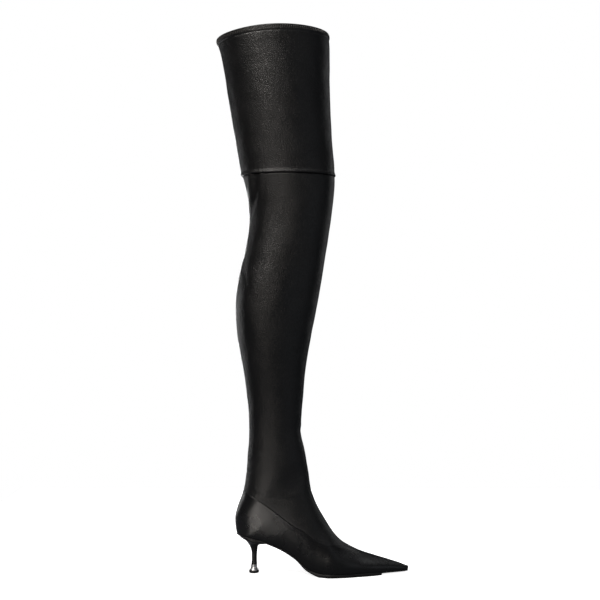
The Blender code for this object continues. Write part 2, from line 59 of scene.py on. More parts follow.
# Sizes of the foot, leg and heel, as in the part's source
FOOT_LENGTH = 0.259
HEEL_BACK = 0.0281
HEEL_HEIGHT = 0.0598
BALL_WIDTH = 0.075
ANKLE_RISE = 0.1522
LEG_HEIGHT = 0.5840
LEG_DEPTH = 0.1695
LEG_WIDTH = 0.142
GAP = 0.0003
FOOT_WALL = 0.0018
SHAFT_WALL = 0.0012
LAP = 0.0005
SOLE_BALL = 0.0053
INSOLE = 0.0016
SOLE_OVERHANG = 0.0006
STEM_HEIGHT = 0.0122
HEEL_SEAT_WIDTH = 0.0455
HEEL_SEAT_LENGTH = 0.0450
RING_WIDTH = 0.0135
RING_FOOT = 0.0038
TIP_WIDTH = 0.0150
TREAD = SOLE_BALL + GAP
ANKLE_HEIGHT = HEEL_HEIGHT + ANKLE_RISE
LASTING = 0.009           # strip of the foot part that is turned in under the foot
TUCK = 0.0035             # reach of the calf under the foot part's top edge
WAY = {"out": -1, "in": 1}  # the two sides, and where they lie along Y


def table(names, *rows):
    """Columns by name, from rows of numbers."""
    return {name: np.array(column, float) for name, column in zip(names.split(), zip(*rows))}


FOOT = table(
    "along lift rise depth tilt sway edge_out edge_in side_out side_in widest low high",
    (0.9985, -0.028,     0, 0.0205,   88, 0.027, 0.018, 0.018,  0.03,  0.03, 0.45,   2,   2),
    (0.9826, -0.029,     0, 0.0258,   90, 0.027,  0.05, 0.052, 0.066, 0.067, 0.36,   2,   2),
    (0.9483, -0.024,     0, 0.0373, 88.8, 0.025, 0.099, 0.103, 0.117, 0.121, 0.32,   2,   2),
    (0.8903, -0.015,     0, 0.0526, 87.9, 0.021, 0.171, 0.178, 0.193,   0.2,  0.3,   2,   2),
    (0.8035, -0.002,     0, 0.0748,   87, 0.015,  0.29, 0.285, 0.318, 0.313, 0.28, 1.9, 1.9),
    (0.7108,      0,     0, 0.1046, 86.8, 0.008,  0.37, 0.392, 0.403, 0.424, 0.27, 1.8, 1.8),
    (0.6104,      0,     0, 0.1538, 83.8, 0.003, 0.443, 0.442, 0.487,  0.49, 0.27, 1.8, 1.8),
    (0.5448,      0,     0, 0.2019, 80.3,     0, 0.459,  0.35, 0.502,  0.47, 0.29, 1.8, 1.8),
    (0.4946,      0,     0, 0.2437, 76.5,     0, 0.411, 0.268, 0.483, 0.453, 0.32, 1.8, 1.9),
    (0.4251,   0.09,     0, 0.2885, 71.4,     0, 0.346, 0.217, 0.455,  0.44, 0.36, 1.7, 1.9),
    (0.3556,  0.393,     0, 0.2997, 64.9,     0, 0.315, 0.211,  0.44, 0.428, 0.39, 1.7,   2),
    (0.2822,  0.618,     0,  0.332, 58.3,     0, 0.312, 0.244, 0.433, 0.427, 0.41, 1.7,   2),
    ( 0.205,  0.784,     0,   0.38,   52,     0, 0.324, 0.296, 0.427, 0.427, 0.43, 1.7,   2),
    (0.1239,  0.906,     0, 0.4447, 46.3,     0,  0.32, 0.317,  0.42,  0.42, 0.45, 1.7,   2),
    (0.0622,  0.963,     0, 0.4973, 42.7,     0,  0.28,  0.28, 0.416, 0.416, 0.46, 1.8,   2),
    (0.0313,  0.991,     0, 0.5233,   41,     0, 0.188, 0.188, 0.414, 0.414, 0.46, 1.9,   2),
    ( 0.012,      1,     0, 0.5403, 40.1,     0,  0.04,  0.04, 0.413, 0.413, 0.46, 2.1,   2),
    (0.0035,      1,  0.06, 0.5315, 37.9,     0,     0,     0, 0.413, 0.413, 0.46, 2.2,   2),
    (     0,      1, 0.146, 0.5123, 34.9,     0,     0,     0, 0.414, 0.414, 0.46, 2.2,   2),
    (0.0158,      1, 0.264,  0.469, 31.4,     0,     0,     0, 0.417, 0.417, 0.47, 2.1,   2),
    ( 0.044,      1, 0.396,  0.414, 27.2,     0,     0,     0, 0.423, 0.423, 0.48,   2,   2),
    (0.0598,      1,  0.56, 0.3688, 20.4,     0,     0,     0,  0.43,  0.43, 0.49,   2,   2),
    (0.0722,      1, 0.803, 0.3247,  8.1,     0,     0,     0, 0.425, 0.425,  0.5,   2,   2),
)
LEG = table(
    "height back front slope crest side_out side_in widest low high",
    (    0, -0.042, 0.412,     0,     0, 0.222, 0.224,  0.5,    2,    2),
    (0.061, -0.052, 0.432,     0,     0,  0.24, 0.244,  0.5,    2,    2),
    (0.123, -0.078, 0.447,     0,     0, 0.271, 0.279, 0.48,    2,    2),
    (0.185, -0.114,  0.47,     0,     0,  0.31, 0.324, 0.46,    2,    2),
    (0.246, -0.154, 0.507,     0,     0, 0.347, 0.364, 0.45,    2, 1.95),
    (0.308, -0.171, 0.554,     0,     0, 0.365, 0.385, 0.44,    2, 1.95),
    (0.369, -0.158, 0.589,     0,     0, 0.369, 0.385, 0.45,    2, 1.95),
    (0.431, -0.102, 0.624,     0,     0, 0.363, 0.376, 0.47, 2.05,    2),
    (0.493, -0.061, 0.659,     0,     0, 0.363, 0.371, 0.49,  2.1, 2.05),
    (0.554, -0.038,  0.69,     0,     0, 0.371, 0.377,  0.5,  2.1,  2.1),
    (0.606,  -0.06, 0.709,     0,     0,  0.38, 0.384,  0.5,  2.1,  2.1),
    (0.652, -0.109, 0.716,     0,     0, 0.386, 0.388,  0.5, 2.05,  2.1),
    (0.698, -0.134,   0.7,     0,     0, 0.396, 0.396,  0.5,    2, 2.05),
    (0.766, -0.176, 0.686, 0.008,     0, 0.419, 0.417,  0.5,    2,    2),
    (0.834, -0.215, 0.675, 0.017, 0.002, 0.443, 0.439,  0.5,    2,    2),
    (0.903, -0.252, 0.668, 0.028, 0.006, 0.468, 0.461,  0.5, 1.97, 2.05),
    (0.963,  -0.29, 0.667,  0.04,  0.01, 0.489,  0.48,  0.5, 1.94,  2.1),
    (    1, -0.334, 0.664, 0.048, 0.013, 0.501, 0.493,  0.5, 1.94,  2.1),
)
SOLE = table(
    "along thick bevel",
    (    0,  0.3, 0.22),
    ( 0.12, 0.34,  0.2),
    ( 0.22,  0.4, 0.16),
    (  0.3, 0.48, 0.14),
    ( 0.37, 0.54, 0.14),
    ( 0.41, 0.57, 0.14),
    (0.435, 0.72, 0.14),
    ( 0.49,    1, 0.14),
    ( 0.84, 0.46,  0.1),
    ( 0.92,  0.4, 0.08),
    (    1, 0.34, 0.08),
)
TREAD_BACK = 0.485
TREAD_FRONT = 0.841
TOP_LINE = table(
    "along lift rise",
    (  -0.3,    1,   0.5),
    (0.0448,    1,  0.42),
    (0.0749,    1, 0.405),
    (0.1583,    1, 0.335),
    (0.2432,    1, 0.232),
    (0.3687, 0.94, 0.105),
    ( 0.485, 0.66, 0.072),
    (0.5622, 0.58, 0.062),
    (0.6139, 0.51, 0.058),
    (0.6757, 0.46, 0.058),
    ( 0.745, 0.46, 0.058),
    (   0.9,  0.8, 0.058),
    (   1.3,    1, 0.058),
)
HEEL = table(
    "back_x back_z front_x front_z half front_nose",
    (-0.088, 0.204,   0.1, 0.204,  0.19,   2),
    (-0.073, 0.334, 0.098, 0.334, 0.175,   2),
    (-0.073, 0.465,   0.1, 0.451, 0.178,   2),
    (-0.098,  0.58, 0.113,  0.56, 0.215,   2),
    (-0.138,  0.66, 0.124, 0.627, 0.265, 2.1),
    (-0.215,  0.75, 0.151, 0.681, 0.375, 2.2),
    ( -0.31, 0.836, 0.211, 0.712,  0.57, 2.4),
    ( -0.41, 0.897,  0.32, 0.742,  0.85, 2.7),
    ( -0.49, 0.945,  0.44, 0.757, 0.975,   3),
    ( -0.52,  1.05, 0.467,  0.86,     1,   3),
)
RING = table(
    "radius height",
    ( 0.97,    0),
    (    1, 0.03),
    ( 0.99,  0.1),
    ( 0.82, 0.27),
    ( 0.71, 0.46),
    ( 0.65, 0.62),
    (0.635, 0.66),
    (0.665,  0.7),
    ( 0.67, 0.94),
    (0.645,    1),
)
TIP = table(
    "radius height",
    (0.955,    0),
    (    1, 0.14),
    (0.985,  0.6),
    (0.915,    1),
)
CORNER_ROW = 16
ANKLE_ROW = len(FOOT["along"])
KNEE_ROW = ANKLE_ROW + 11
COLLAR_ROW = ANKLE_ROW + len(LEG["height"]) - 1

FINE = 32                 # fine rows to one row of the tables
CURVE = 120               # points to a quarter of a section's outline


def foot_x(along):
    """Place along X of a share of the foot's length."""
    return along * FOOT_LENGTH - HEEL_BACK


def foot_z(lift, rise):
    """Height from shares of the heel's height and of the rise to the ankle."""
    return TREAD + lift * (HEEL_HEIGHT - TREAD) + rise * ANKLE_RISE


def slopes(values):
    """Slope at each row, level where the rows turn back."""
    step = np.diff(values)
    before, after = step[:-1], step[1:]
    same_way = before * after > 0
    inner = np.where(same_way, 2 * before * after / np.where(same_way, before + after, 1.0), 0.0)
    return np.concatenate(([step[0]], inner, [step[-1]]))


def glide(values, at):
    """Smooth values of a column at row numbers between its rows."""
    at = np.asarray(at, float)
    row = np.clip(np.floor(at).astype(int), 0, len(values) - 2)
    t = at - row
    slope = slopes(values)
    return (
        values[row] * (1 + 2 * t) * (1 - t) ** 2
        + values[row + 1] * t * t * (3 - 2 * t)
        + slope[row] * t * (1 - t) ** 2
        - slope[row + 1] * t * t * (1 - t)
    )


def ease(value):
    """From 0 to 1, level at both ends."""
    value = np.clip(value, 0.0, 1.0)
    return value * value * (3 - 2 * value)


def bell(marks, wide):
    """Weights of a smoothing at marks on both sides of nought."""
    weights = np.exp(-0.5 * (marks / wide) ** 2)
    return weights / weights.sum()


def ridge(distance, tall, centre, wide):
    """Soft ridge beside an edge, or a groove where tall is below nought."""
    return tall * np.exp(-((distance - centre) / wide) ** 2)


def rounded(distance, reach):
    """From 1 at an edge to 0 at reach from it, as a quarter circle."""
    return 1 - np.sqrt(np.maximum(0.0, 1 - np.clip(1 - distance / reach, 0, 1) ** 2))


def skin_rows():
    """The boot's chain of sections on fine rows, smoothed along the leg."""
    tilt = np.radians(FOOT["tilt"])
    low_x = foot_x(FOOT["along"])
    low_z = foot_z(FOOT["lift"], FOOT["rise"])
    leg_z = ANKLE_HEIGHT + LEG["height"] * LEG_HEIGHT
    depth = FOOT["depth"] * FOOT_LENGTH
    level = np.zeros(len(LEG["height"]))
    rows = {
        "low_x": (low_x, LEG["back"] * LEG_DEPTH),
        "low_z": (low_z, leg_z),
        "high_x": (low_x + depth * np.cos(tilt), LEG["front"] * LEG_DEPTH),
        "high_z": (low_z + depth * np.sin(tilt), leg_z + LEG["slope"] * LEG_DEPTH),
        "sway": (FOOT["sway"] * BALL_WIDTH, level),
        "edge_out": (FOOT["edge_out"] * BALL_WIDTH, level),
        "edge_in": (FOOT["edge_in"] * BALL_WIDTH, level),
        "side_out": (FOOT["side_out"] * BALL_WIDTH, LEG["side_out"] * LEG_WIDTH),
        "side_in": (FOOT["side_in"] * BALL_WIDTH, LEG["side_in"] * LEG_WIDTH),
        "crest": (np.zeros(len(FOOT["along"])), LEG["crest"] * LEG_DEPTH),
        "widest": (FOOT["widest"], LEG["widest"]),
        "low": (FOOT["low"], LEG["low"]),
        "high": (FOOT["high"], LEG["high"]),
    }
    at = np.arange(COLLAR_ROW * FINE + 1) / FINE
    spread = bell(np.arange(-2 * FINE, 2 * FINE + 1), 0.45 * FINE)
    share = ease((at - (ANKLE_ROW - 2)) / 2) * ease((COLLAR_ROW - at) / 1.5)
    fine = {}
    for name, parts in rows.items():
        values = glide(np.concatenate(parts), at)
        padded = np.pad(values, 2 * FINE, mode="edge")
        smooth = np.convolve(padded, spread, mode="valid")
        fine[name] = values + share * (smooth - values)
    return at, fine


ROW_AT, SKIN = skin_rows()


def value(name, at):
    """Size of the chain of sections at row numbers."""
    return np.interp(at, ROW_AT, SKIN[name])


def ends(at):
    """Low and high end of sections, as x and z."""
    low = np.column_stack((value("low_x", at), value("low_z", at)))
    high = np.column_stack((value("high_x", at), value("high_z", at)))
    return low, high


def low_end(at):
    """Lower end of a section, as x and z."""
    return np.array([value("low_x", at), value("low_z", at)])


def inward(at):
    """Direction square to the boot's lower outline, into the boot."""
    reach = 0.05
    ahead = at if at <= CORNER_ROW < at + reach else at + reach
    run = low_end(ahead) - low_end(at - reach)
    way = np.array([run[1], -run[0]])
    return way / np.linalg.norm(way)


TURN = np.linspace(0.0, math.pi / 2, CURVE)


def half_curve(edge, side, depth, widest, low, high):
    """Half a section from the end of its flat bottom to its high end, as out and up."""
    out = np.concatenate((
        edge + (side - edge) * np.sin(TURN) ** (2 / low),
        (side * np.cos(TURN) ** (2 / high))[1:],
    ))
    up = np.concatenate((
        widest * depth * (1 - np.cos(TURN) ** (2 / low)),
        (depth * (widest + (1 - widest) * np.sin(TURN) ** (2 / high)))[1:],
    ))
    return out, up


def plain_half(at, hand):
    """One side of a section straight from the tables."""
    low, high = ends([at])
    low, high = low[0], high[0]
    depth = np.hypot(*(high - low))
    along = (high - low) / depth
    edge = value("edge_" + hand, at)
    powers = (value(name, at) for name in ("widest", "low", "high"))
    out, up = half_curve(edge, value("side_" + hand, at), depth, *powers)
    crest = value("crest", at) * (out / out.max()) ** 4
    points = np.column_stack((
        low[0] + along[0] * up,
        value("sway", at) + WAY[hand] * out,
        low[1] + along[1] * up + crest,
    ))
    return points, edge


def lengths_along(points):
    """Length along a line at each of its points."""
    return np.concatenate(([0.0], np.cumsum(np.linalg.norm(np.diff(points, axis=0), axis=1))))


def even_rows(first, last, step):
    """Row numbers from first to last so that no end of a section moves more than step."""
    at = np.linspace(first, last, 4000)
    low, high = ends(at)
    run = np.maximum(
        np.hypot(*np.diff(low, axis=0).T),
        np.hypot(*np.diff(high, axis=0).T),
    )
    total = np.concatenate(([0.0], np.cumsum(run)))
    count = int(math.ceil(total[-1] / step))
    return np.interp(np.linspace(0, total[-1], count + 1), total, at)


def rows_through(first, *stretches):
    """Rows from first through stretches, each given by its step and its last row."""
    rows = [np.array([first])]
    for step, last in zip(stretches[::2], stretches[1::2]):
        rows.append(even_rows(first, last, step)[1:])
        first = last
    return np.concatenate(rows)


def eased_corner(hand):
    """Sections round the heel's lower corner, eased from row to row away from the sole's edge."""
    step, soft, fade = 0.0005, 0.0065, 0.016
    at = even_rows(CORNER_ROW - 3.2, CORNER_ROW + 4.5, step)
    grid = np.array([plain_half(row, hand)[0] for row in at])
    reach = int(3 * soft / step)
    spread = bell(np.arange(-reach, reach + 1) * step, soft)

    def smooth(values):
        padded = np.pad(values, ((reach, reach), (0, 0), (0, 0)), mode="edge")
        return sum(share * padded[i:i + len(values)] for i, share in enumerate(spread))

    once = smooth(grid)
    eased = 2 * once - smooth(once)
    from_edge = np.array([lengths_along(points) for points in grid])
    from_ends = np.minimum(np.arange(len(at)), np.arange(len(at))[::-1]) * step
    share = ease((from_edge - 0.001) / 0.009) * ease(from_ends / fade)[:, None]
    return at, grid + share[..., None] * (eased - grid)


EASED = {hand: eased_corner(hand) for hand in WAY}


def section_half(at, hand):
    """One side of a section as dense points in space, from the flat bottom's edge to the top."""
    rows, grid = EASED[hand]
    if not rows[0] < at < rows[-1]:
        return plain_half(at, hand)
    i = int(np.searchsorted(rows, at)) - 1
    share = (at - rows[i]) / (rows[i + 1] - rows[i])
    return grid[i] + share * (grid[i + 1] - grid[i]), value("edge_" + hand, at)


LINE_AT = np.linspace(0, len(TOP_LINE["along"]) - 1, 400)
LINE_X = foot_x(glide(TOP_LINE["along"], LINE_AT))
LINE_Z = foot_z(glide(TOP_LINE["lift"], LINE_AT), glide(TOP_LINE["rise"], LINE_AT))


def over_line(points):
    """How far points lie over the foot part's top line, seen from the side."""
    return points[..., -1] - np.interp(points[..., 0], LINE_X, LINE_Z)


def line_row(first, last, end, tuck=0.0):
    """First row whose low (0) or high (1) end lies over the top line, or within tuck of it."""
    at = np.linspace(first, last, 2000)
    over = over_line(ends(at)[end]) + tuck
    return at[np.nonzero(over > 0)[0][0]]


LINE_START = line_row(4.0, 9.0, 1, TUCK)
LINE_END = line_row(CORNER_ROW, ANKLE_ROW, 0)


def line_place(points, lengths):
    """Length along a half section where it meets the top line, or its whole length."""
    over = over_line(points)
    above = np.nonzero(over > 0)[0]
    if len(above) == 0:
        return lengths[-1]
    i = above[0]
    if i == 0:
        return 0.0
    share = -over[i - 1] / (over[i] - over[i - 1])
    return lengths[i - 1] + share * (lengths[i] - lengths[i - 1])


def resample(points, lengths, marks):
    """Points of a line at given lengths along it."""
    return np.column_stack([np.interp(marks, lengths, points[:, i]) for i in range(3)])


# Relief of the leather. Each row is one soft fold. height and turn
# place its two ends: millimetres over the floor, and degrees round the leg from
# the outer side (minus is towards the back). bow bends it sideways in
# millimetres. wide is its half width and tall its height, minus for a trough.
LEG_FOLDS = table(
    "height_a turn_a height_b turn_b bow wide tall",
    (598, -50, 532, -72,  3,   4,  -1.9),
    (600, -60, 540, -80,  3, 4.5,   1.6),
    (592, -84, 556, -98,  0,   6,  -0.9),
    (470, -72, 424, -46, -3, 4.5,  -0.8),
    (466, -80, 436, -62, -2,   4,   0.7),
    (176, -66, 178, -30,  3, 2.6,  0.45),
    (166, -84, 166, -36,  3,   3, -0.55),
    (157, -80, 158, -50,  2, 2.6,   0.4),
    (150, -96, 152, -64,  1, 2.4,  -0.4),
    (726, -76, 700, -71,  1,   3,  -0.5),
    (722, -86, 690, -80,  1,   4,  0.55),
    (700, -68, 672, -76,  1, 3.5, -0.45),
    (776,  70, 752,  78,  0,   4,  0.45),
    (640,  72, 612,  84,  0,   4,   0.5),
    (601,  50, 596,  70,  0,   3,  0.45),
    (323,  46, 339,  60,  1,   3, -0.55),
    (333,  52, 350,  66,  1, 3.5,  0.45),
    (214,  70, 206, 110,  2,   4,  -0.5),
    (222,  74, 216, 106,  2,   4,  0.45),
    (540, -20, 500, -34,  6,  12,  -0.5),
    (520,  10, 470, -12,  8,  14,   0.5),
    (430,   4, 380, -14,  6,  12,   0.5),
    (430,  40, 400,  18,  4,  10,  -0.5),
    (570, 120, 560, 170,  3,   6,  -0.8),
    (580, 200, 548, 230,  3,   5,  -0.9),
    (592, 215, 560, 245,  2,   6,   0.7),
    (470, 200, 440, 225,  2,   5,  -0.7),
    (176, 200, 170, 235,  2,   3,  -0.5),
    (166, 196, 160, 240,  2,   3,   0.4),
    (150, 205, 146, 250,  2,   3,  -0.4),
    (700, 190, 660, 205,  4,   8,  -0.5),
    (330, 150, 350, 175,  3,   5,  -0.5),
)

# Folds of the ankle and foot. x and z are millimetres, side is -1 for the outer
# side, 1 for the inner side.
FOOT_FOLDS = table(
    "x_a z_a x_b z_b bow wide tall side",
    (-3, 132, 62, 121, -4, 4.2,  1.3, -1),
    ( 4, 122, 60, 110, -4,   5, -0.6, -1),
    (-4, 141, 62, 131, -4, 3.6,  0.6,  1),
    ( 6, 130, 66, 118, -4, 4.2, -0.6,  1),
)


def fold_height(across, down, fold):
    """Height of one fold over flat coordinates in metres."""
    a, b, bow, wide, tall = fold
    middle = (a + b) / 2
    run = b - a
    length = max(np.hypot(*run), 1e-6)
    square = np.array([-run[1], run[0]]) / length
    bend = middle + 2 * bow * square
    marks = np.linspace(0, 1, 15)[:, None]
    path = (1 - marks) ** 2 * a + 2 * marks * (1 - marks) * bend + marks ** 2 * b
    near = np.full(across.shape, np.inf)
    place = np.zeros(across.shape)
    for share, (x, z) in zip(marks[:, 0], path):
        far = (across - x) ** 2 + (down - z) ** 2
        closer = far < near
        near = np.where(closer, far, near)
        place = np.where(closer, share, place)
    taper = np.sin(math.pi * np.clip(0.12 + 0.76 * place, 0, 1))
    return tall * np.exp(-near / wide ** 2) * taper


def leg_turn(points):
    """Degrees round the leg from its outer side, towards the front."""
    z = points[..., 2]
    marks = np.linspace(ANKLE_ROW - 4, COLLAR_ROW, 400)
    low, high = ends(marks)
    middle = np.interp(z, (low[:, 1] + high[:, 1]) / 2, (low[:, 0] + high[:, 0]) / 2)
    return np.degrees(np.arctan2(points[..., 0] - middle, -points[..., 1]))


def leg_relief(points):
    """Listed folds of the leg, in metres along the surface's normal."""
    turn = leg_turn(points)
    height = points[..., 2]
    relief = np.zeros(height.shape)
    for height_a, turn_a, height_b, turn_b, bow, wide, tall in zip(*LEG_FOLDS.values()):
        centre = (turn_a + turn_b) / 2
        away = (turn - centre + 180) % 360 - 180
        radius = 0.045 if height_a > 250 else 0.030
        near = (np.abs(away) < 90) & (np.abs(height - (height_a + height_b) / 2000) < 0.09)
        if not near.any():
            continue
        a = np.array([math.radians(turn_a - centre) * radius, height_a * MM])
        b = np.array([math.radians(turn_b - centre) * radius, height_b * MM])
        fold = (a, b, bow * MM, wide * MM, tall * MM)
        relief[near] += fold_height(np.radians(away[near]) * radius, height[near], fold)
    return relief


def foot_relief(points):
    """Listed folds of the ankle and foot, on the side they belong to."""
    relief = np.zeros(points.shape[:-1])
    for x_a, z_a, x_b, z_b, bow, wide, tall, side in zip(*FOOT_FOLDS.values()):
        a, b = np.array([x_a, z_a]) * MM, np.array([x_b, z_b]) * MM
        fold = (a, b, bow * MM, wide * MM, tall * MM)
        share = ease(side * points[..., 1] / 0.012)
        relief += share * fold_height(points[..., 0], points[..., 2], fold)
    return relief


def soft_waves(points, pitch, seed):
    """Slow uneven waves from a few crossing sines, the same on every run."""
    pick = np.random.default_rng(seed)
    total = np.zeros(points.shape[:-1])
    for _ in range(7):
        way = pick.normal(size=3)
        way /= np.linalg.norm(way)
        size = pitch * pick.uniform(0.7, 1.6)
        total += np.sin(2 * math.pi * (points @ way) / size + pick.uniform(0, 2 * math.pi))
    return total / 7


def normals_of(grid, outward_hint):
    """Unit normals of a grid of points, turned to the side of the hint."""
    across = np.gradient(grid, axis=1)
    down = np.gradient(grid, axis=0)
    normal = np.cross(across, down)
    size = np.linalg.norm(normal, axis=2, keepdims=True)
    normal = normal / np.maximum(size, 1e-12)
    flip = np.sum(normal * outward_hint, axis=2, keepdims=True) < 0
    return np.where(flip, -normal, normal)


def grid_faces(rows, columns, closed=False):
    """Faces of a grid of points; a closed grid joins its last column to its first."""
    r = np.arange(rows - 1)[:, None]
    c = np.arange(columns if closed else columns - 1)[None, :]
    after = (c + 1) % columns
    return np.stack((
        r * columns + c,
        r * columns + after,
        (r + 1) * columns + after,
        (r + 1) * columns + c,
    ), axis=-1).reshape(-1, 4)


def sheet_faces(sheet, start=0):
    """Faces of a sheet of two sides, without the strip that would join their upper edges."""
    rows, columns = sheet.shape[:2]
    faces = grid_faces(rows, columns)
    return start + faces[faces[:, 0] % columns != columns // 2 - 1]


def filled(rings):
    """Points and faces of a row of closed rings, with the first and last ring filled."""
    rings = np.asarray(rings)
    rows, columns = rings.shape[:2]
    last = (rows - 1) * columns
    faces = grid_faces(rows, columns, closed=True).tolist()
    faces += [list(range(columns)), list(range(last, last + columns))]
    return rings.reshape(-1, 3), faces


def weld(points, faces, reach=2e-6):
    """Join points that lie together and drop faces that collapse."""
    keys = np.round(points / reach).astype(np.int64)
    _, first, back = np.unique(keys, axis=0, return_index=True, return_inverse=True)
    back = back.ravel()
    faces = back[faces]
    kept = []
    for face in faces:
        ring = [face[i] for i in range(len(face)) if face[i] != face[i - 1]]
        if len(set(ring)) == len(ring) and len(ring) >= 3:
            kept.append([int(i) for i in ring])
    return points[first], kept


FOOT_CROWD = 1.4          # powers that crowd the columns of points near the top line
CALF_CROWD = 1.3


def side_rows(row_list, hand, columns, span, margin=0):
    """Grid of one side over a list of rows, and each point's normal.

    span picks the stretch of each section: foot (up to the top line), calf (from
    just under the top line) or all. margin adds that many columns for the strip
    turned in under the foot.
    """
    grid, hint = [], []
    for at in row_list:
        points, edge = section_half(at, hand)
        lengths = lengths_along(points)
        start, end = 0.0, lengths[-1]
        share = np.linspace(0, 1, columns)
        if span == "foot":
            end = line_place(points, lengths)
            share = 1 - (1 - share) ** FOOT_CROWD
        elif span == "calf":
            sunk = points + np.array([0.0, 0.0, TUCK])
            start = line_place(sunk, lengths)
            if start < end:
                share = share ** CALF_CROWD
        marks = start + (end - start) * share
        line = resample(points, lengths, marks)
        if margin:
            strip_end = np.array([0.0, WAY[hand] * min(edge, LASTING), 0.0])
            strip = points[0] - np.outer(np.linspace(1, 0, margin, endpoint=False), strip_end)
            line = np.concatenate((strip, line))
        low, high = ends([at])
        middle = (low[0] + high[0]) / 2
        grid.append(line)
        hint.append(line - np.array([middle[0], 0.0, middle[1]]))
    grid, hint = np.array(grid), np.array(hint)
    normal = normals_of(grid, hint)
    centred = np.abs(grid[..., 1]) < 1e-7
    normal[..., 1] = np.where(centred, 0.0, normal[..., 1])
    size = np.linalg.norm(normal, axis=2, keepdims=True)
    return grid, normal / np.maximum(size, 1e-12)


LINE_BAND = 0.012         # height about the top line in which distances are worked out
FAR_OFF = 0.05            # distance given to all other points


def line_distance(points):
    """Distance of points to the foot part's top line, with a sign: minus under it."""
    tree = mathutils.kdtree.KDTree(len(TOP_EDGE))
    for i, place in enumerate(TOP_EDGE):
        tree.insert(place, i)
    tree.balance()
    flat = points.reshape(-1, 3)
    over = over_line(flat)
    near = np.abs(over) < LINE_BAND
    far = np.full(len(flat), FAR_OFF)
    far[near] = [tree.find(place)[2] for place in flat[near]]
    return (np.where(over < 0, -1, 1) * far).reshape(points.shape[:-1])


def top_edge():
    """Points of the top line on the boot's skin, both sides."""
    places = []
    for hand in WAY:
        for at in np.linspace(4.0, LINE_END, 700):
            points, _ = section_half(at, hand)
            lengths = lengths_along(points)
            end = line_place(points, lengths)
            if 0.0 < end < lengths[-1]:
                places.append(resample(points, lengths, np.array([end]))[0])
    return np.array(places)


TOP_EDGE = top_edge()


def sheet_of(sides):
    """Two sides side by side: outer side upward, then inner side downward."""
    return np.concatenate((sides[0], sides[1][:, ::-1]), axis=1)


# Leather edges: ridges are tall, centre and wide, in metres from the edge
FOOT_BEAD = (0.00026, 0.0016, 0.0012)
FOOT_EDGE, FOOT_EDGE_DROP = 0.0007, 0.0006
TOE_CAP = 0.0011          # length of the rounded tip ahead of the first section
TOE_TURNS = (90, 80, 66, 50, 32, 15)
LINING_FIRST = 20         # row at which the lining starts, counted from the toe
FOOT_WAVES, FOOT_PITCH = 0.00008, 0.040
VAMP_X, VAMP_FADE = 0.066, 0.020   # where the top line starts to lie flat, and over what length
VAMP_FLAT = 0.6           # share of the top line's step that is lost over the vamp


def over_vamp(grid):
    """From 0 behind to 1 over the vamp, where the top line's edge lies flatter."""
    return ease((grid[..., 0] - VAMP_X) / VAMP_FADE)


def foot_leather():
    """Foot part: outer skin with a folded top edge, toe cap, rim and lining."""
    rows = np.concatenate((
        even_rows(0.0, CORNER_ROW, 0.0016),
        even_rows(CORNER_ROW + 0.05, LINE_END - 0.02, 0.0012),
        [LINE_END - 0.001],
    ))
    margin = 4
    outer, inner = [], []
    for hand in WAY:
        grid, normal = side_rows(rows, hand, 58, "foot", margin)
        far = -line_distance(grid)
        vamp = over_vamp(grid)
        fold = FOOT_EDGE_DROP * rounded(far, FOOT_EDGE)
        relief = ridge(far, *FOOT_BEAD) * (1 - vamp) - fold * (1 - VAMP_FLAT * vamp)
        relief += FOOT_WAVES * soft_waves(grid, FOOT_PITCH, 5)
        relief[:, :margin] = 0.0
        outer.append(grid + normal * relief[..., None])
        inner.append(grid - normal * FOOT_WALL)
    skin = sheet_of(outer)

    # Toe: rings that close on the tip
    first = skin[0]
    middle = first.mean(axis=0)
    middle[1] = 0.5 * (first[:, 1].min() + first[:, 1].max())
    caps = []
    for turn in np.radians(TOE_TURNS):
        cap = middle + (first - middle) * math.cos(turn)
        cap[:, 0] = first[:, 0] + TOE_CAP * math.sin(turn)
        caps.append(cap)
    skin = np.concatenate((np.array(caps), skin))
    rows_out, columns = skin.shape[:2]
    half = columns // 2
    points = skin.reshape(-1, 3)
    count = len(points)

    # Lining, and the rim between skin and lining at the top line
    lining = sheet_of(inner)[LINING_FIRST:]
    inside = np.arange(len(lining)) * columns
    outside = inside + (rows_out - len(lining)) * columns
    gap = points[outside + half - 1] - points[outside + half]
    is_open = np.linalg.norm(gap, axis=1)[1:] > 2e-4
    faces = [sheet_faces(skin), sheet_faces(lining, start=count)]
    for column in (half - 1, half):
        skin_edge, lining_edge = outside + column, count + inside + column
        strip = (skin_edge[:-1], skin_edge[1:], lining_edge[1:], lining_edge[:-1])
        faces.append(np.column_stack(strip)[is_open])
    points, faces = weld(
        np.concatenate((points, lining.reshape(-1, 3))), np.concatenate(faces)
    )
    made = piece("foot_leather", points, faces, FOOT_LEATHER, "black_leather")
    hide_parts("upper_foot")


def add_object(name, data, place=(0, 0, 0)):
    """New object in the scene."""
    made = bpy.data.objects.new(name, data)
    made.location = place
    bpy.context.scene.collection.objects.link(made)
    return made


def piece(name, points, faces, surface, slot):
    """One visible mesh on the boot's only body."""
    mesh = bpy.data.meshes.new(name)
    mesh.from_pydata(points.tolist(), [], [tuple(map(int, face)) for face in faces])
    mesh.validate()
    made = add_object(name, mesh)
    mesh.materials.append(surface)
    build = bmesh.new()
    build.from_mesh(mesh)
    bmesh.ops.recalc_face_normals(build, faces=build.faces)
    build.to_mesh(mesh)
    build.free()
    mesh.shade_smooth()
    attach(made, "root")
    return made


def wave_round(turn, pitch_degrees, seed):
    """Uneven ripple round the leg, the same on every run."""
    pick = np.random.default_rng(seed)
    total = np.zeros(turn.shape)
    for _ in range(5):
        count = round(360 / pitch_degrees * pick.uniform(0.6, 1.5))
        total += np.sin(np.radians(turn) * count + pick.uniform(0, 2 * math.pi))
    return total / 3.0


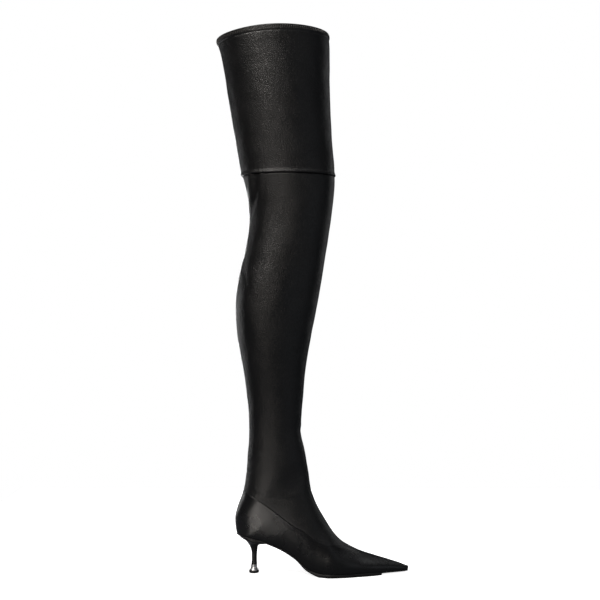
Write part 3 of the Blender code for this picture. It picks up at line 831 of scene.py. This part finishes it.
LEG_WAVES = table(
    "tall pitch stretch seed",
    (0.00085, 0.055, 0.7, 11),
    (0.00034, 0.024, 0.8, 12),
)
KNEE_PUFF = (0.00150, 0.0012, 0.0034)
HEM_GROOVE = (-0.00050, 0.0088, 0.0009)
HEM_RIDGE = (0.00016, 0.0066, 0.0020)
HEM_RIPPLE = (0.00010, 0.0100, 0.004)
LINE_PUFF = (0.00020, 0.0030, 0.0018)
BACK_SEAM = (-0.00025, 0.0, 0.0009)
THIGH_EDGE = 0.0011       # depth and reach of the thigh panel's folded lower edge
COLLAR_ROUND, COLLAR_DROP = 0.0012, 0.0011   # reach and depth of the collar's rounding
HEM_WALL = 0.0010         # what the turned hem adds to the wall
HEM_WIDTH = 0.0098
TUCK_SINK = 0.0017        # how deep the calf lies under the foot part's edge
KNEE_SINK = 0.0012        # how deep it lies under the thigh panel's edge
KNEE_TUCK = 0.0022        # height under that edge from which it sinks
LINING_GAP = 0.0004       # between the calf's lining and its back
PUCKER_FADE = 0.009       # height over which the knee seam's pucker dies away
CALF_PUCKER, THIGH_PUCKER = 0.00016, 0.00024
KNEE_ABOVE = 0.5          # height over which the calf may pucker
SEAM_FOOT = 0.13          # height at which the back seam starts


def leg_skin(grid):
    """Unevenness and folds that calf and thigh share."""
    relief = leg_relief(grid)
    for tall, pitch, stretch, seed in zip(*LEG_WAVES.values()):
        relief += tall * soft_waves(grid * np.array([1.0, 1.0, stretch]), pitch, int(seed))
    return relief


def back_seam(grid):
    """Fine groove down the middle of the back."""
    return ridge(grid[..., 1], *BACK_SEAM) * (grid[..., 0] < 0.02)


KNEE_Z = value("low_z", KNEE_ROW)


def calf_leather():
    """Calf: from under the foot part's edge to under the thigh panel's edge."""
    knee_top = KNEE_ROW + 0.10
    rows = rows_through(
        LINE_START, 0.0016, ANKLE_ROW, 0.0020, KNEE_ROW - 0.25, 0.0007, knee_top
    )
    sides = []
    for hand in WAY:
        grid, normal = side_rows(rows, hand, 84, "calf")
        far = line_distance(grid)
        sink = LAP * (1 - VAMP_FLAT * over_vamp(grid)) + TUCK_SINK * ease(-over_line(grid) / TUCK)
        near_knee = grid[..., 2] - KNEE_Z
        sink += KNEE_SINK * ease((near_knee + KNEE_TUCK) / 0.0030)
        pucker = np.exp(np.minimum(near_knee, 0) / PUCKER_FADE)
        pucker *= wave_round(leg_turn(grid), 9.0, 3)
        away = ease((far - 0.002) / 0.010)
        relief = -sink
        relief += away * leg_skin(grid)
        relief += away * foot_relief(grid)
        relief += CALF_PUCKER * pucker * (grid[..., 2] > KNEE_ABOVE)
        relief += ridge(far, *LINE_PUFF)
        relief += back_seam(grid) * (grid[..., 2] > SEAM_FOOT)
        sides.append(grid + normal * relief[..., None])
    points, faces = join_sides(sheet_of(sides))
    inner = []
    for hand in WAY:
        grid, normal = side_rows(even_rows(6.2, knee_top, 0.0075), hand, 30, "calf")
        inner.append(grid - normal * (LAP + SHAFT_WALL + LINING_GAP))
    more_points, more_faces = join_sides(sheet_of(inner))
    faces += [[i + len(points) for i in face] for face in more_faces]
    points = np.concatenate((points, more_points))
    made = piece("calf_leather", points, faces, LEATHER, "black_leather")
    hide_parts("shaft_calf")


def join_sides(sheet):
    """Weld the two sides of a sheet where they meet in front and behind."""
    return weld(sheet.reshape(-1, 3), sheet_faces(sheet))


def thigh_leather():
    """Thigh panel: folded lower edge on the knee seam, turned hem at the collar."""
    rows = rows_through(
        KNEE_ROW, 0.0005, KNEE_ROW + 0.25, 0.0019, COLLAR_ROW - 0.5, 0.0005, COLLAR_ROW
    )
    outer, inner = [], []
    for hand in WAY:
        grid, normal = side_rows(rows, hand, 96, "all")
        up = grid[..., 2] - KNEE_Z
        turn = leg_turn(grid)
        below = collar_below(rows, grid)
        top = rounded(below, COLLAR_ROUND)
        relief = -THIGH_EDGE * rounded(up, THIGH_EDGE)
        relief += ridge(up, *KNEE_PUFF)
        relief += THIGH_PUCKER * np.exp(-up / PUCKER_FADE) * wave_round(turn, 8.0, 4)
        away = ease((up - 0.003) / 0.012) * ease((below - 0.006) / 0.012)
        relief += away * leg_skin(grid)
        relief -= COLLAR_DROP * top
        relief += ridge(below, *HEM_GROOVE)
        relief += ridge(below, *HEM_RIDGE)
        relief += ridge(below, *HEM_RIPPLE) * wave_round(turn, 6.0, 8)
        relief += back_seam(grid)
        outer.append(grid + normal * relief[..., None])
        inside = SHAFT_WALL + HEM_WALL * ease((HEM_WIDTH - below) / 0.0008) - 0.0009 * top
        inner.append(grid - normal * inside[..., None])
    skin, lining = sheet_of(outer), sheet_of(inner)
    rows_out, columns = skin.shape[:2]
    count = rows_out * columns
    faces = [sheet_faces(skin), sheet_faces(lining, start=count)]
    for row in (0, rows_out - 1):
        ring = row * columns + np.arange(columns)
        strip = np.column_stack((ring[:-1], ring[1:], ring[1:] + count, ring[:-1] + count))
        faces.append(np.delete(strip, columns // 2 - 1, axis=0))
    points, faces = weld(
        np.concatenate((skin.reshape(-1, 3), lining.reshape(-1, 3))), np.concatenate(faces)
    )
    made = piece("thigh_leather", points, faces, LEATHER, "black_leather")
    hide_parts("shaft_thigh")


def collar_below(rows, grid):
    """How far each point of a grid lies below the collar's edge, along the leg."""
    low, high = ends(rows)
    middle = (low + high) / 2
    run = np.linalg.norm(np.diff(middle, axis=0), axis=1)
    total = np.concatenate(([0.0], np.cumsum(run)))
    return np.repeat((total[-1] - total)[:, None], grid.shape[1], axis=1)


def tube(path, radius, sides=6):
    """A round thread along points, as points and faces."""
    run = np.gradient(path, axis=0)
    run /= np.maximum(np.linalg.norm(run, axis=1, keepdims=True), 1e-12)
    aside = np.cross(run, (0.0, 0.0, 1.0))
    upright = np.linalg.norm(aside, axis=1) < 0.2
    aside[upright] = np.cross(run[upright], (1.0, 0.0, 0.0))
    aside /= np.linalg.norm(aside, axis=1, keepdims=True)
    other = np.cross(run, aside)
    turn = np.linspace(0, 2 * math.pi, sides, endpoint=False)
    rings = (
        path[:, None, :]
        + radius * np.cos(turn)[None, :, None] * aside[:, None, :]
        + radius * np.sin(turn)[None, :, None] * other[:, None, :]
    )
    return rings.reshape(-1, 3), grid_faces(len(path), sides, closed=True)


HEM_STITCHES = 150
STITCH_TOP, STITCH_LOW = 0.0022, 0.0062   # ends of a stitch under the collar's edge
STITCH_SLANT = 0.35       # share of a stitch that its upper end is ahead
STITCH_ARCH, STITCH_LIFT = 0.00026, 0.00016
THREAD_RADIUS = 0.00044


def hem_stitches():
    """Overcast thread round the collar: one raised slanting bar a stitch."""
    low, _ = ends([COLLAR_ROW - 1, COLLAR_ROW])
    row_length = np.hypot(*(low[1] - low[0]))
    rings = {}
    for drop in (STITCH_TOP, STITCH_LOW):
        at = COLLAR_ROW - drop / row_length
        halves = [section_half(at, hand)[0] for hand in WAY]
        ring = np.concatenate((halves[0], halves[1][::-1][1:]))
        low, high = ends([at])
        rings[drop] = (ring, lengths_along(ring), (low[0] + high[0]) / 2)
    marks = np.linspace(0, 1, 5)[:, None]
    arch = np.sin(math.pi * marks)
    points, faces, count = [], [], 0
    for i in range(HEM_STITCHES):
        places, outward = [], []
        for step, drop in ((i, STITCH_LOW), (i + STITCH_SLANT, STITCH_TOP)):
            ring, lengths, middle = rings[drop]
            mark = step / HEM_STITCHES * lengths[-1]
            place = resample(ring, lengths, np.array([mark]))[0]
            out = place - np.array([middle[0], 0.0, middle[1]])
            out[2] = 0.0
            places.append(place)
            outward.append(out / np.linalg.norm(out))
        (a, b), (out_a, out_b) = places, outward
        path = a + (b - a) * marks + (out_a + out_b) / 2 * (STITCH_ARCH * arch + STITCH_LIFT)
        bar_points, bar_faces = tube(path, THREAD_RADIUS)
        points.append(bar_points)
        faces.append(bar_faces + count)
        count += len(bar_points)
    piece("hem_stitches", np.concatenate(points), np.concatenate(faces), THREAD_WITH_PAINTED_GLINT, "black_leather")


def sole_place(at, drop, out):
    """Outer and inner point of the sole, drop below the upper's edge, out past it."""
    low_x = value("low_x", at)
    x, z = low_end(at) - inward(at) * drop
    reach = 0.08 * FOOT_LENGTH
    behind = max(0.0, 1.0 - (low_x - foot_x(FOOT["along"][CORNER_ROW])) / reach)
    before = max(0.0, 1.0 - (foot_x(FOOT["along"][0]) - low_x) / reach)
    x += out * (before ** 2 - behind ** 2)
    sides = []
    for hand, way_out in WAY.items():
        half = value("edge_" + hand, at)
        grow = out * min(1.0, half / (0.1 * BALL_WIDTH))
        sides.append(np.array([x, value("sway", at) + way_out * (half + grow), z]))
    return sides


def sole_value(name, at):
    """Thickness or bevel of the sole at a row, in metres."""
    along = (value("low_x", at) + HEEL_BACK) / FOOT_LENGTH
    row = np.interp(along, SOLE["along"], np.arange(len(SOLE["along"])))
    return glide(SOLE[name], row) * SOLE_BALL


# Outline of the sole's side from its upper edge to its underside. drop is a
# share of the thickness, out of the overhang and draw of the bevel.
SOLE_SIDE = table(
    "drop out draw",
    (   0,  0.1,    0),
    (0.06, 0.62,    0),
    (0.16,  0.9,    0),
    (0.34,    1,    0),
    (0.52,    1, 0.04),
    (0.68, 0.96, 0.14),
    ( 0.8, 0.86,  0.3),
    (0.89,  0.7, 0.55),
    (0.95, 0.45,  0.8),
    (   1,    0,  1.1),
)


def sole_outline(at, tread):
    """Dense sole section, outer side then inner side."""
    low_z = value("low_z", at)
    thick = low_z - GAP if tread else sole_value("thick", at)
    bevel = sole_value("bevel", at)
    outer, inner = [], []
    for drop, out, draw in zip(*SOLE_SIDE.values()):
        a, b = sole_place(at, GAP + drop * thick, out * SOLE_OVERHANG - draw * bevel)
        outer.append(a)
        inner.append(b)
    if tread:
        level = outer[-1][2]
        for side in (outer, inner):
            for place in side:
                place[2] -= level * (place[2] < 0.5 * low_z) * (1 - place[2] / (0.5 * low_z))
            side[-1][2] = 0.0
    return np.array(outer + inner[::-1])


def sole_row(along):
    """Row of the foot's table that lies at a share of the foot's length."""
    return np.interp(-along, -FOOT["along"][:CORNER_ROW], np.arange(CORNER_ROW))


def outsole_edge():
    """Outsole with rounded, polished edges and a step ahead of the tread."""
    step_at, meet_at = sole_row(TREAD_FRONT), sole_row(TREAD_BACK)
    rows = [(at, False) for at in even_rows(0.0, step_at - 0.02, 0.0016)]
    rows += [(at, True) for at in even_rows(step_at, meet_at, 0.0018)]
    rows += [(at, False) for at in even_rows(meet_at, CORNER_ROW, 0.0016)[1:]]
    rings = np.array([sole_outline(at, tread) for at, tread in rows])
    count = rings.shape[1] // 2
    across = np.linspace(0, 1, 9)[1:-1][None, :, None]
    left, right = rings[:, count - 1:count], rings[:, count:count + 1]
    bottom = left + (right - left) * across
    rings = np.concatenate((rings[:, :count], bottom, rings[:, count:]), axis=1)
    made = piece("outsole_leather", *filled(rings), SOLE_LEATHER, "black_sole_leather")
    keep_sharp(made)
    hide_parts("outsole")


def keep_sharp(made):
    """Keep edges over 50 degrees crisp in the smooth shading."""
    made.data.set_sharp_from_angle(angle=math.radians(50))


def seat_line():
    """Line of the sole's underside over the heel, as x and z."""
    places = []
    for at in np.linspace(CORNER_ROW, 9.0, 120):
        drop = GAP + 0.0001 + sole_value("thick", at)
        places.append(tuple(low_end(at) - inward(at) * drop))
    return np.array(sorted(places)).T


SEAT_X, SEAT_Z = seat_line()


def heel_cover():
    """Heel in stretched leather, from the ring to the sole."""
    turn = np.linspace(0, 2 * math.pi, 96, endpoint=False)
    rings = []
    for row in np.linspace(0, len(HEEL["half"]) - 1, 110):
        back_x, back_z, front_x, front_z, half, nose = (glide(HEEL[name], row) for name in HEEL)
        back = np.array([back_x * HEEL_SEAT_LENGTH, back_z * HEEL_HEIGHT])
        front = np.array([front_x * HEEL_SEAT_LENGTH, front_z * HEEL_HEIGHT])
        middle, reach = (back + front) / 2, (front - back) / 2
        power = np.where(np.cos(turn) > 0, 2 / nose, 1.0)
        ahead = np.sign(np.cos(turn)) * np.abs(np.cos(turn)) ** power
        aside = np.sign(np.sin(turn)) * np.abs(np.sin(turn)) ** power
        rings.append(np.column_stack((
            middle[0] + reach[0] * ahead,
            half * HEEL_SEAT_WIDTH / 2 * aside,
            middle[1] + reach[1] * ahead,
        )))
    rings = np.array(rings)
    rings[..., 2] = np.minimum(rings[..., 2], np.interp(rings[..., 0], SEAT_X, SEAT_Z))
    made = piece("heel_cover", *filled(rings), HEEL_LEATHER, "black_leather")
    keep_sharp(made)
    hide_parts("heel")


def turned(name, profile, half_width, bottom, top, surface, slot, node):
    """Fine round piece about the heel's upright axis, with softened corners."""
    marks = np.linspace(0, len(profile["radius"]) - 1, 60)
    radius = glide(profile["radius"], marks) * half_width
    height = bottom + (top - bottom) * glide(profile["height"], marks)
    soft = 0.00012
    first, last = radius[0], radius[-1]
    foot = [0.0, first - 2 * soft, first - 0.6 * soft]
    radius = np.concatenate((foot, radius, [last - soft, 0.0]))
    height = np.concatenate(([bottom, bottom, bottom + 0.3 * soft], height, [top, top]))
    height[3] = bottom + 1.2 * soft
    turn = np.linspace(0, 2 * math.pi, 128, endpoint=False)
    rings = np.stack([
        np.column_stack((r * np.cos(turn), r * np.sin(turn), np.full(len(turn), z)))
        for r, z in zip(radius, height)
    ])
    faces = grid_faces(len(radius), len(turn), closed=True)
    made = piece(name, *weld(rings.reshape(-1, 3), faces), surface, slot)
    keep_sharp(made)
    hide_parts(node)


def sock():
    """Insole with its sock, seen only down the leg."""
    rings = []
    for at in even_rows(1.5, CORNER_ROW - 0.5, 0.003):
        way = inward(at)
        bottom = low_end(at) + way * (FOOT_WALL + GAP)
        top = bottom + way * INSOLE
        half_out, half_in = (
            max(value("edge_" + hand, at) - FOOT_WALL - 2 * GAP, 0.0004) for hand in WAY
        )
        ring = []
        for (x, z), shares in ((bottom, (-1, 0, 1)), (top, (1, 0.9, 0.5, 0, -0.5, -0.9, -1))):
            for share in shares:
                half = half_out if share < 0 else half_in
                rise = 0.0008 * (abs(share) > 0.95) * (shares[0] == 1)
                ring.append((x, value("sway", at) + share * half, z - rise * way[1]))
        rings.append(ring)
    made = piece("insole_sock", *filled(rings), SOCK, "dark_sock_leather")
    keep_sharp(made)
    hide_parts("insole")


def node_material(name):
    """New material, its nodes and its shader."""
    made = bpy.data.materials.new(name)
    made.use_nodes = True
    tree = made.node_tree
    return made, tree, tree.nodes["Principled BSDF"]


def set_inputs(node, **inputs):
    """Set a node's sockets by name, and its properties where no socket has the name."""
    for key, setting in inputs.items():
        name = key.replace("_", " ")
        if name in node.inputs:
            node.inputs[name].default_value = setting
        else:
            setattr(node, key, setting)


def add_node(tree, kind, **inputs):
    """New node with its sockets and properties set."""
    node = tree.nodes.new(kind)
    set_inputs(node, **inputs)
    return node


def texture(place, kind, **inputs):
    """Texture in the object's own coordinates, which the node place gives."""
    tree = place.id_data
    node = add_node(tree, kind, **inputs)
    tree.links.new(place.outputs["Object"], node.inputs["Vector"])
    return node


def mapped(tree, source, before, after, **settings):
    """Output of a node that maps the range before to the range after."""
    node = add_node(tree, "ShaderNodeMapRange", **settings)
    set_inputs(node, From_Min=before[0], From_Max=before[1], To_Min=after[0], To_Max=after[1])
    tree.links.new(source, node.inputs["Value"])
    return node.outputs["Result"]


def bump(tree, height, strength, distance, under=None):
    """Relief in the shading, laid over the relief of the node under."""
    node = add_node(tree, "ShaderNodeBump", Strength=strength, Distance=distance)
    tree.links.new(height, node.inputs["Height"])
    if under:
        tree.links.new(under.outputs["Normal"], node.inputs["Normal"])
    return node


GRAIN_DEPTH = 0.00055


def leather(name, dark, light, rough, grain, grain_size, coat=0.0):
    """Leather: mottled black, pebbled grain with fine pores, and an uneven sheen."""
    made, tree, shader = node_material(name)
    link = tree.links.new
    place = add_node(tree, "ShaderNodeTexCoord")

    blotch = texture(place, "ShaderNodeTexNoise", Scale=34.0, Detail=3.0, Roughness=0.55)
    tone = add_node(tree, "ShaderNodeMix", data_type="RGBA", A=(*dark, 1), B=(*light, 1))
    link(blotch.outputs["Fac"], tone.inputs["Factor"])
    link(tone.outputs["Result"], shader.inputs["Base Color"])

    patches = texture(place, "ShaderNodeTexNoise", Scale=32.0, Detail=2.0, Roughness=0.5)
    link(mapped(tree, patches.outputs["Fac"], (0.3, 0.7), rough), shader.inputs["Roughness"])

    cells = texture(place, "ShaderNodeTexVoronoi", Scale=1.0 / grain_size, Randomness=1.0)
    pores = texture(place, "ShaderNodeTexNoise", Scale=1.0 / grain_size, Detail=2.0, Roughness=0.6)
    pulled = texture(place, "ShaderNodeTexNoise", Scale=80.0, Detail=1.0, Roughness=0.4)
    pebbles = bump(tree, cells.outputs["Distance"], grain, GRAIN_DEPTH)
    fine = bump(tree, pores.outputs["Fac"], grain, GRAIN_DEPTH, pebbles)
    drag = bump(tree, pulled.outputs["Fac"], 0.25, 0.0012, fine)
    link(drag.outputs["Normal"], shader.inputs["Normal"])
    set_inputs(shader, Coat_Weight=coat, Coat_Roughness=0.35)
    return made


def plain(name, colour, rough, metallic, grain, scale):
    """One colour with a little unevenness in its gloss and surface."""
    made, tree, shader = node_material(name)
    link = tree.links.new
    set_inputs(shader, Base_Color=(*colour, 1), Metallic=metallic)
    place = add_node(tree, "ShaderNodeTexCoord")
    wear = texture(place, "ShaderNodeTexNoise", Scale=scale, Detail=4.0, Roughness=0.6)
    gloss = mapped(tree, wear.outputs["Fac"], (0.0, 1.0), (rough * 0.85, rough * 1.15))
    link(gloss, shader.inputs["Roughness"])
    relief = bump(tree, wear.outputs["Fac"], grain, 0.0002)
    link(relief.outputs["Normal"], shader.inputs["Normal"])
    return made


LEATHER = leather(
    "soft_black_leather", dark=(0.0028, 0.0027, 0.0027), light=(0.0058, 0.0054, 0.0051),
    rough=(0.29, 0.40), grain=0.60, grain_size=0.0013,
)
FOOT_LEATHER = leather(
    "smooth_black_leather", dark=(0.0028, 0.0027, 0.0028), light=(0.0052, 0.0050, 0.0049),
    rough=(0.25, 0.31), grain=0.26, grain_size=0.0012,
)
HEEL_LEATHER = leather(
    "heel_black_leather", dark=(0.0035, 0.0034, 0.0034), light=(0.0065, 0.0061, 0.0060),
    rough=(0.30, 0.40), grain=0.15, grain_size=0.0010, coat=0.1,
)
SOLE_LEATHER = leather(
    "polished_sole_edge", dark=(0.0040, 0.0039, 0.0039), light=(0.0070, 0.0067, 0.0065),
    rough=(0.46, 0.56), grain=0.10, grain_size=0.0008,
)
SOCK = leather(
    "sock_leather", dark=(0.020, 0.019, 0.018), light=(0.030, 0.028, 0.026),
    rough=(0.55, 0.68), grain=0.25, grain_size=0.0012,
)
METAL = plain("polished_ring_metal", (0.90, 0.89, 0.88), 0.33, 1.0, grain=0.02, scale=500.0)
RUBBER = plain("tip_rubber", (0.010, 0.010, 0.010), 0.50, 0.0, grain=0.15, scale=900.0)
# Thread colour: black thread lightened to a mid grey, a painted glint so that the stitches read as
# light ticks
THREAD_WITH_PAINTED_GLINT = plain("black_thread_painted_glint", (0.105, 0.101, 0.096), 0.30, 0.0, grain=0.10, scale=2500.0)

foot_leather()
calf_leather()
thigh_leather()
hem_stitches()
outsole_edge()
heel_cover()
turned(
    "ring_metal", RING, RING_WIDTH / 2, RING_FOOT, STEM_HEIGHT - GAP,
    METAL, "bright_metal", "heel_ring",
)
turned(
    "tip_rubber", TIP, TIP_WIDTH / 2, 0.0, RING_FOOT - GAP,
    RUBBER, "black_rubber", "top_piece",
)
sock()


FLOOR_MIDDLE, FLOOR_REACH = 0.087, 0.62
FLOOR_GLOW = 0.84
FILL_FRONT, FILL_BACK, FILL_BELOW = 0.085, 0.04, 0.08
TOP_LIGHT = 0.85
CAMERA_PLACE = (0.069, -1.410, 0.408)
CAMERA_LENS = 56.4        # millimetres, on a sensor 36 mm wide
# Name, place, aim, width and height, watts, colour, and spread in degrees
AREA_LIGHTS = (
    ("key", (-0.60, -1.65, 0.52), (0.03, 0.0, 0.48), (0.52, 0.90), 4.1, (1.0, 0.92, 0.84)),
    ("low_front", (-0.078, -0.235, 0.027), (0.0, -0.03, 0.09), (0.12, 0.044), 0.024,
     (1.0, 0.94, 0.88), 70),
    ("fill_right", (1.45, -0.95, 0.45), (0.05, 0.0, 0.40), (0.8, 1.2), 1.1, (0.88, 0.93, 1.0)),
    ("high_left", (-0.70, -1.05, 1.75), (0.03, 0.0, 0.45), (0.36, 0.35), 20.0, (1.0, 0.95, 0.90)),
    ("back_left", (-1.3, 1.3, 0.3), (0.0, 0.0, 0.30), (0.3, 0.8), 2.5),
    ("back_right", (1.2, 1.4, 0.7), (0.0, 0.0, 0.45), (0.5, 1.2), 1.2),
    ("behind", (-0.40, 2.10, 0.50), (0.03, 0.0, 0.45), (0.5, 1.1), 12.0),
)


def area_light(name, place, aim, size, watts, colour=(1, 1, 1), spread=180):
    """Soft light that the camera doesn't see."""
    data = bpy.data.lights.new(name, "AREA")
    data.shape = "RECTANGLE"
    data.size, data.size_y = size
    data.energy = watts
    data.color = colour
    data.spread = math.radians(spread)
    made = add_object(name, data, place)
    way = mathutils.Vector(aim) - mathutils.Vector(place)
    made.rotation_euler = way.to_track_quat("-Z", "Y").to_euler()
    made.visible_camera = False


def even_top_light():
    """Wide soft light straight down, the same all over the floor."""
    data = bpy.data.lights.new("even_top", "SUN")
    data.energy = TOP_LIGHT
    data.angle = math.radians(70)
    data.color = (0.96, 0.98, 1.0)
    add_object("even_top", data, (0.0, 0.0, 3.0))


def floor():
    """Floor that is white to the camera, and darker to light and reflections."""
    corners = ((-1, -1), (1, -1), (1, 1), (-1, 1))
    mesh = bpy.data.meshes.new("floor")
    mesh.from_pydata(
        [(FLOOR_MIDDLE + x * FLOOR_REACH, y * FLOOR_REACH, 0) for x, y in corners],
        [], [(0, 1, 2, 3)],
    )
    made = add_object("floor", mesh)
    surface, tree, shader = node_material("pale_floor")
    link = tree.links.new
    seen = add_node(tree, "ShaderNodeLightPath").outputs["Is Camera Ray"]
    tone = add_node(
        tree, "ShaderNodeMix", data_type="RGBA", A=(0.16, 0.17, 0.19, 1), B=(0.98, 0.98, 0.98, 1)
    )
    link(seen, tone.inputs["Factor"])
    link(tone.outputs["Result"], shader.inputs["Base Color"])
    glow = add_node(tree, "ShaderNodeMath", operation="MULTIPLY")
    glow.inputs[1].default_value = FLOOR_GLOW
    link(seen, glow.inputs[0])
    link(glow.outputs[0], shader.inputs["Emission Strength"])
    set_inputs(
        shader, Emission_Color=(1.0, 1.0, 1.0, 1), Roughness=0.9, Specular_IOR_Level=0.0
    )
    mesh.materials.append(surface)


def world():
    """White behind the boot, and a faint fill that is weaker from behind than from the front."""
    made = bpy.data.worlds.new("studio")
    made.use_nodes = True
    bpy.context.scene.world = made
    tree = made.node_tree
    link = tree.links.new
    seen = tree.nodes["Background"]
    set_inputs(seen, Color=(1.0, 1.0, 1.0, 1), Strength=1.0)
    way = add_node(tree, "ShaderNodeSeparateXYZ")
    link(add_node(tree, "ShaderNodeTexCoord").outputs["Generated"], way.inputs["Vector"])
    smooth = {"interpolation_type": "SMOOTHSTEP"}
    total = add_node(tree, "ShaderNodeMath")
    depth = mapped(tree, way.outputs["Y"], (-0.6, 0.5), (FILL_FRONT, FILL_BACK), **smooth)
    below = mapped(tree, way.outputs["Z"], (-0.15, -0.85), (0.0, FILL_BELOW), **smooth)
    link(depth, total.inputs[0])
    link(below, total.inputs[1])
    fill = add_node(tree, "ShaderNodeBackground", Color=(0.84, 0.90, 1.0, 1))
    link(total.outputs[0], fill.inputs["Strength"])
    mix = add_node(tree, "ShaderNodeMixShader")
    link(add_node(tree, "ShaderNodeLightPath").outputs["Is Camera Ray"], mix.inputs["Fac"])
    link(fill.outputs[0], mix.inputs[1])
    link(seen.outputs[0], mix.inputs[2])
    link(mix.outputs[0], tree.nodes["World Output"].inputs["Surface"])


def camera():
    """Level camera square to the boot's outer side."""
    data = bpy.data.cameras.new("camera")
    data.lens = CAMERA_LENS
    data.sensor_width = 36.0
    made = add_object("camera", data, CAMERA_PLACE)
    made.rotation_euler = (math.pi / 2, 0, 0)
    bpy.context.scene.camera = made


bpy.context.scene.view_settings.view_transform = "Standard"
camera()
floor()
world()
even_top_light()
for light in AREA_LIGHTS:
    area_light(*light)
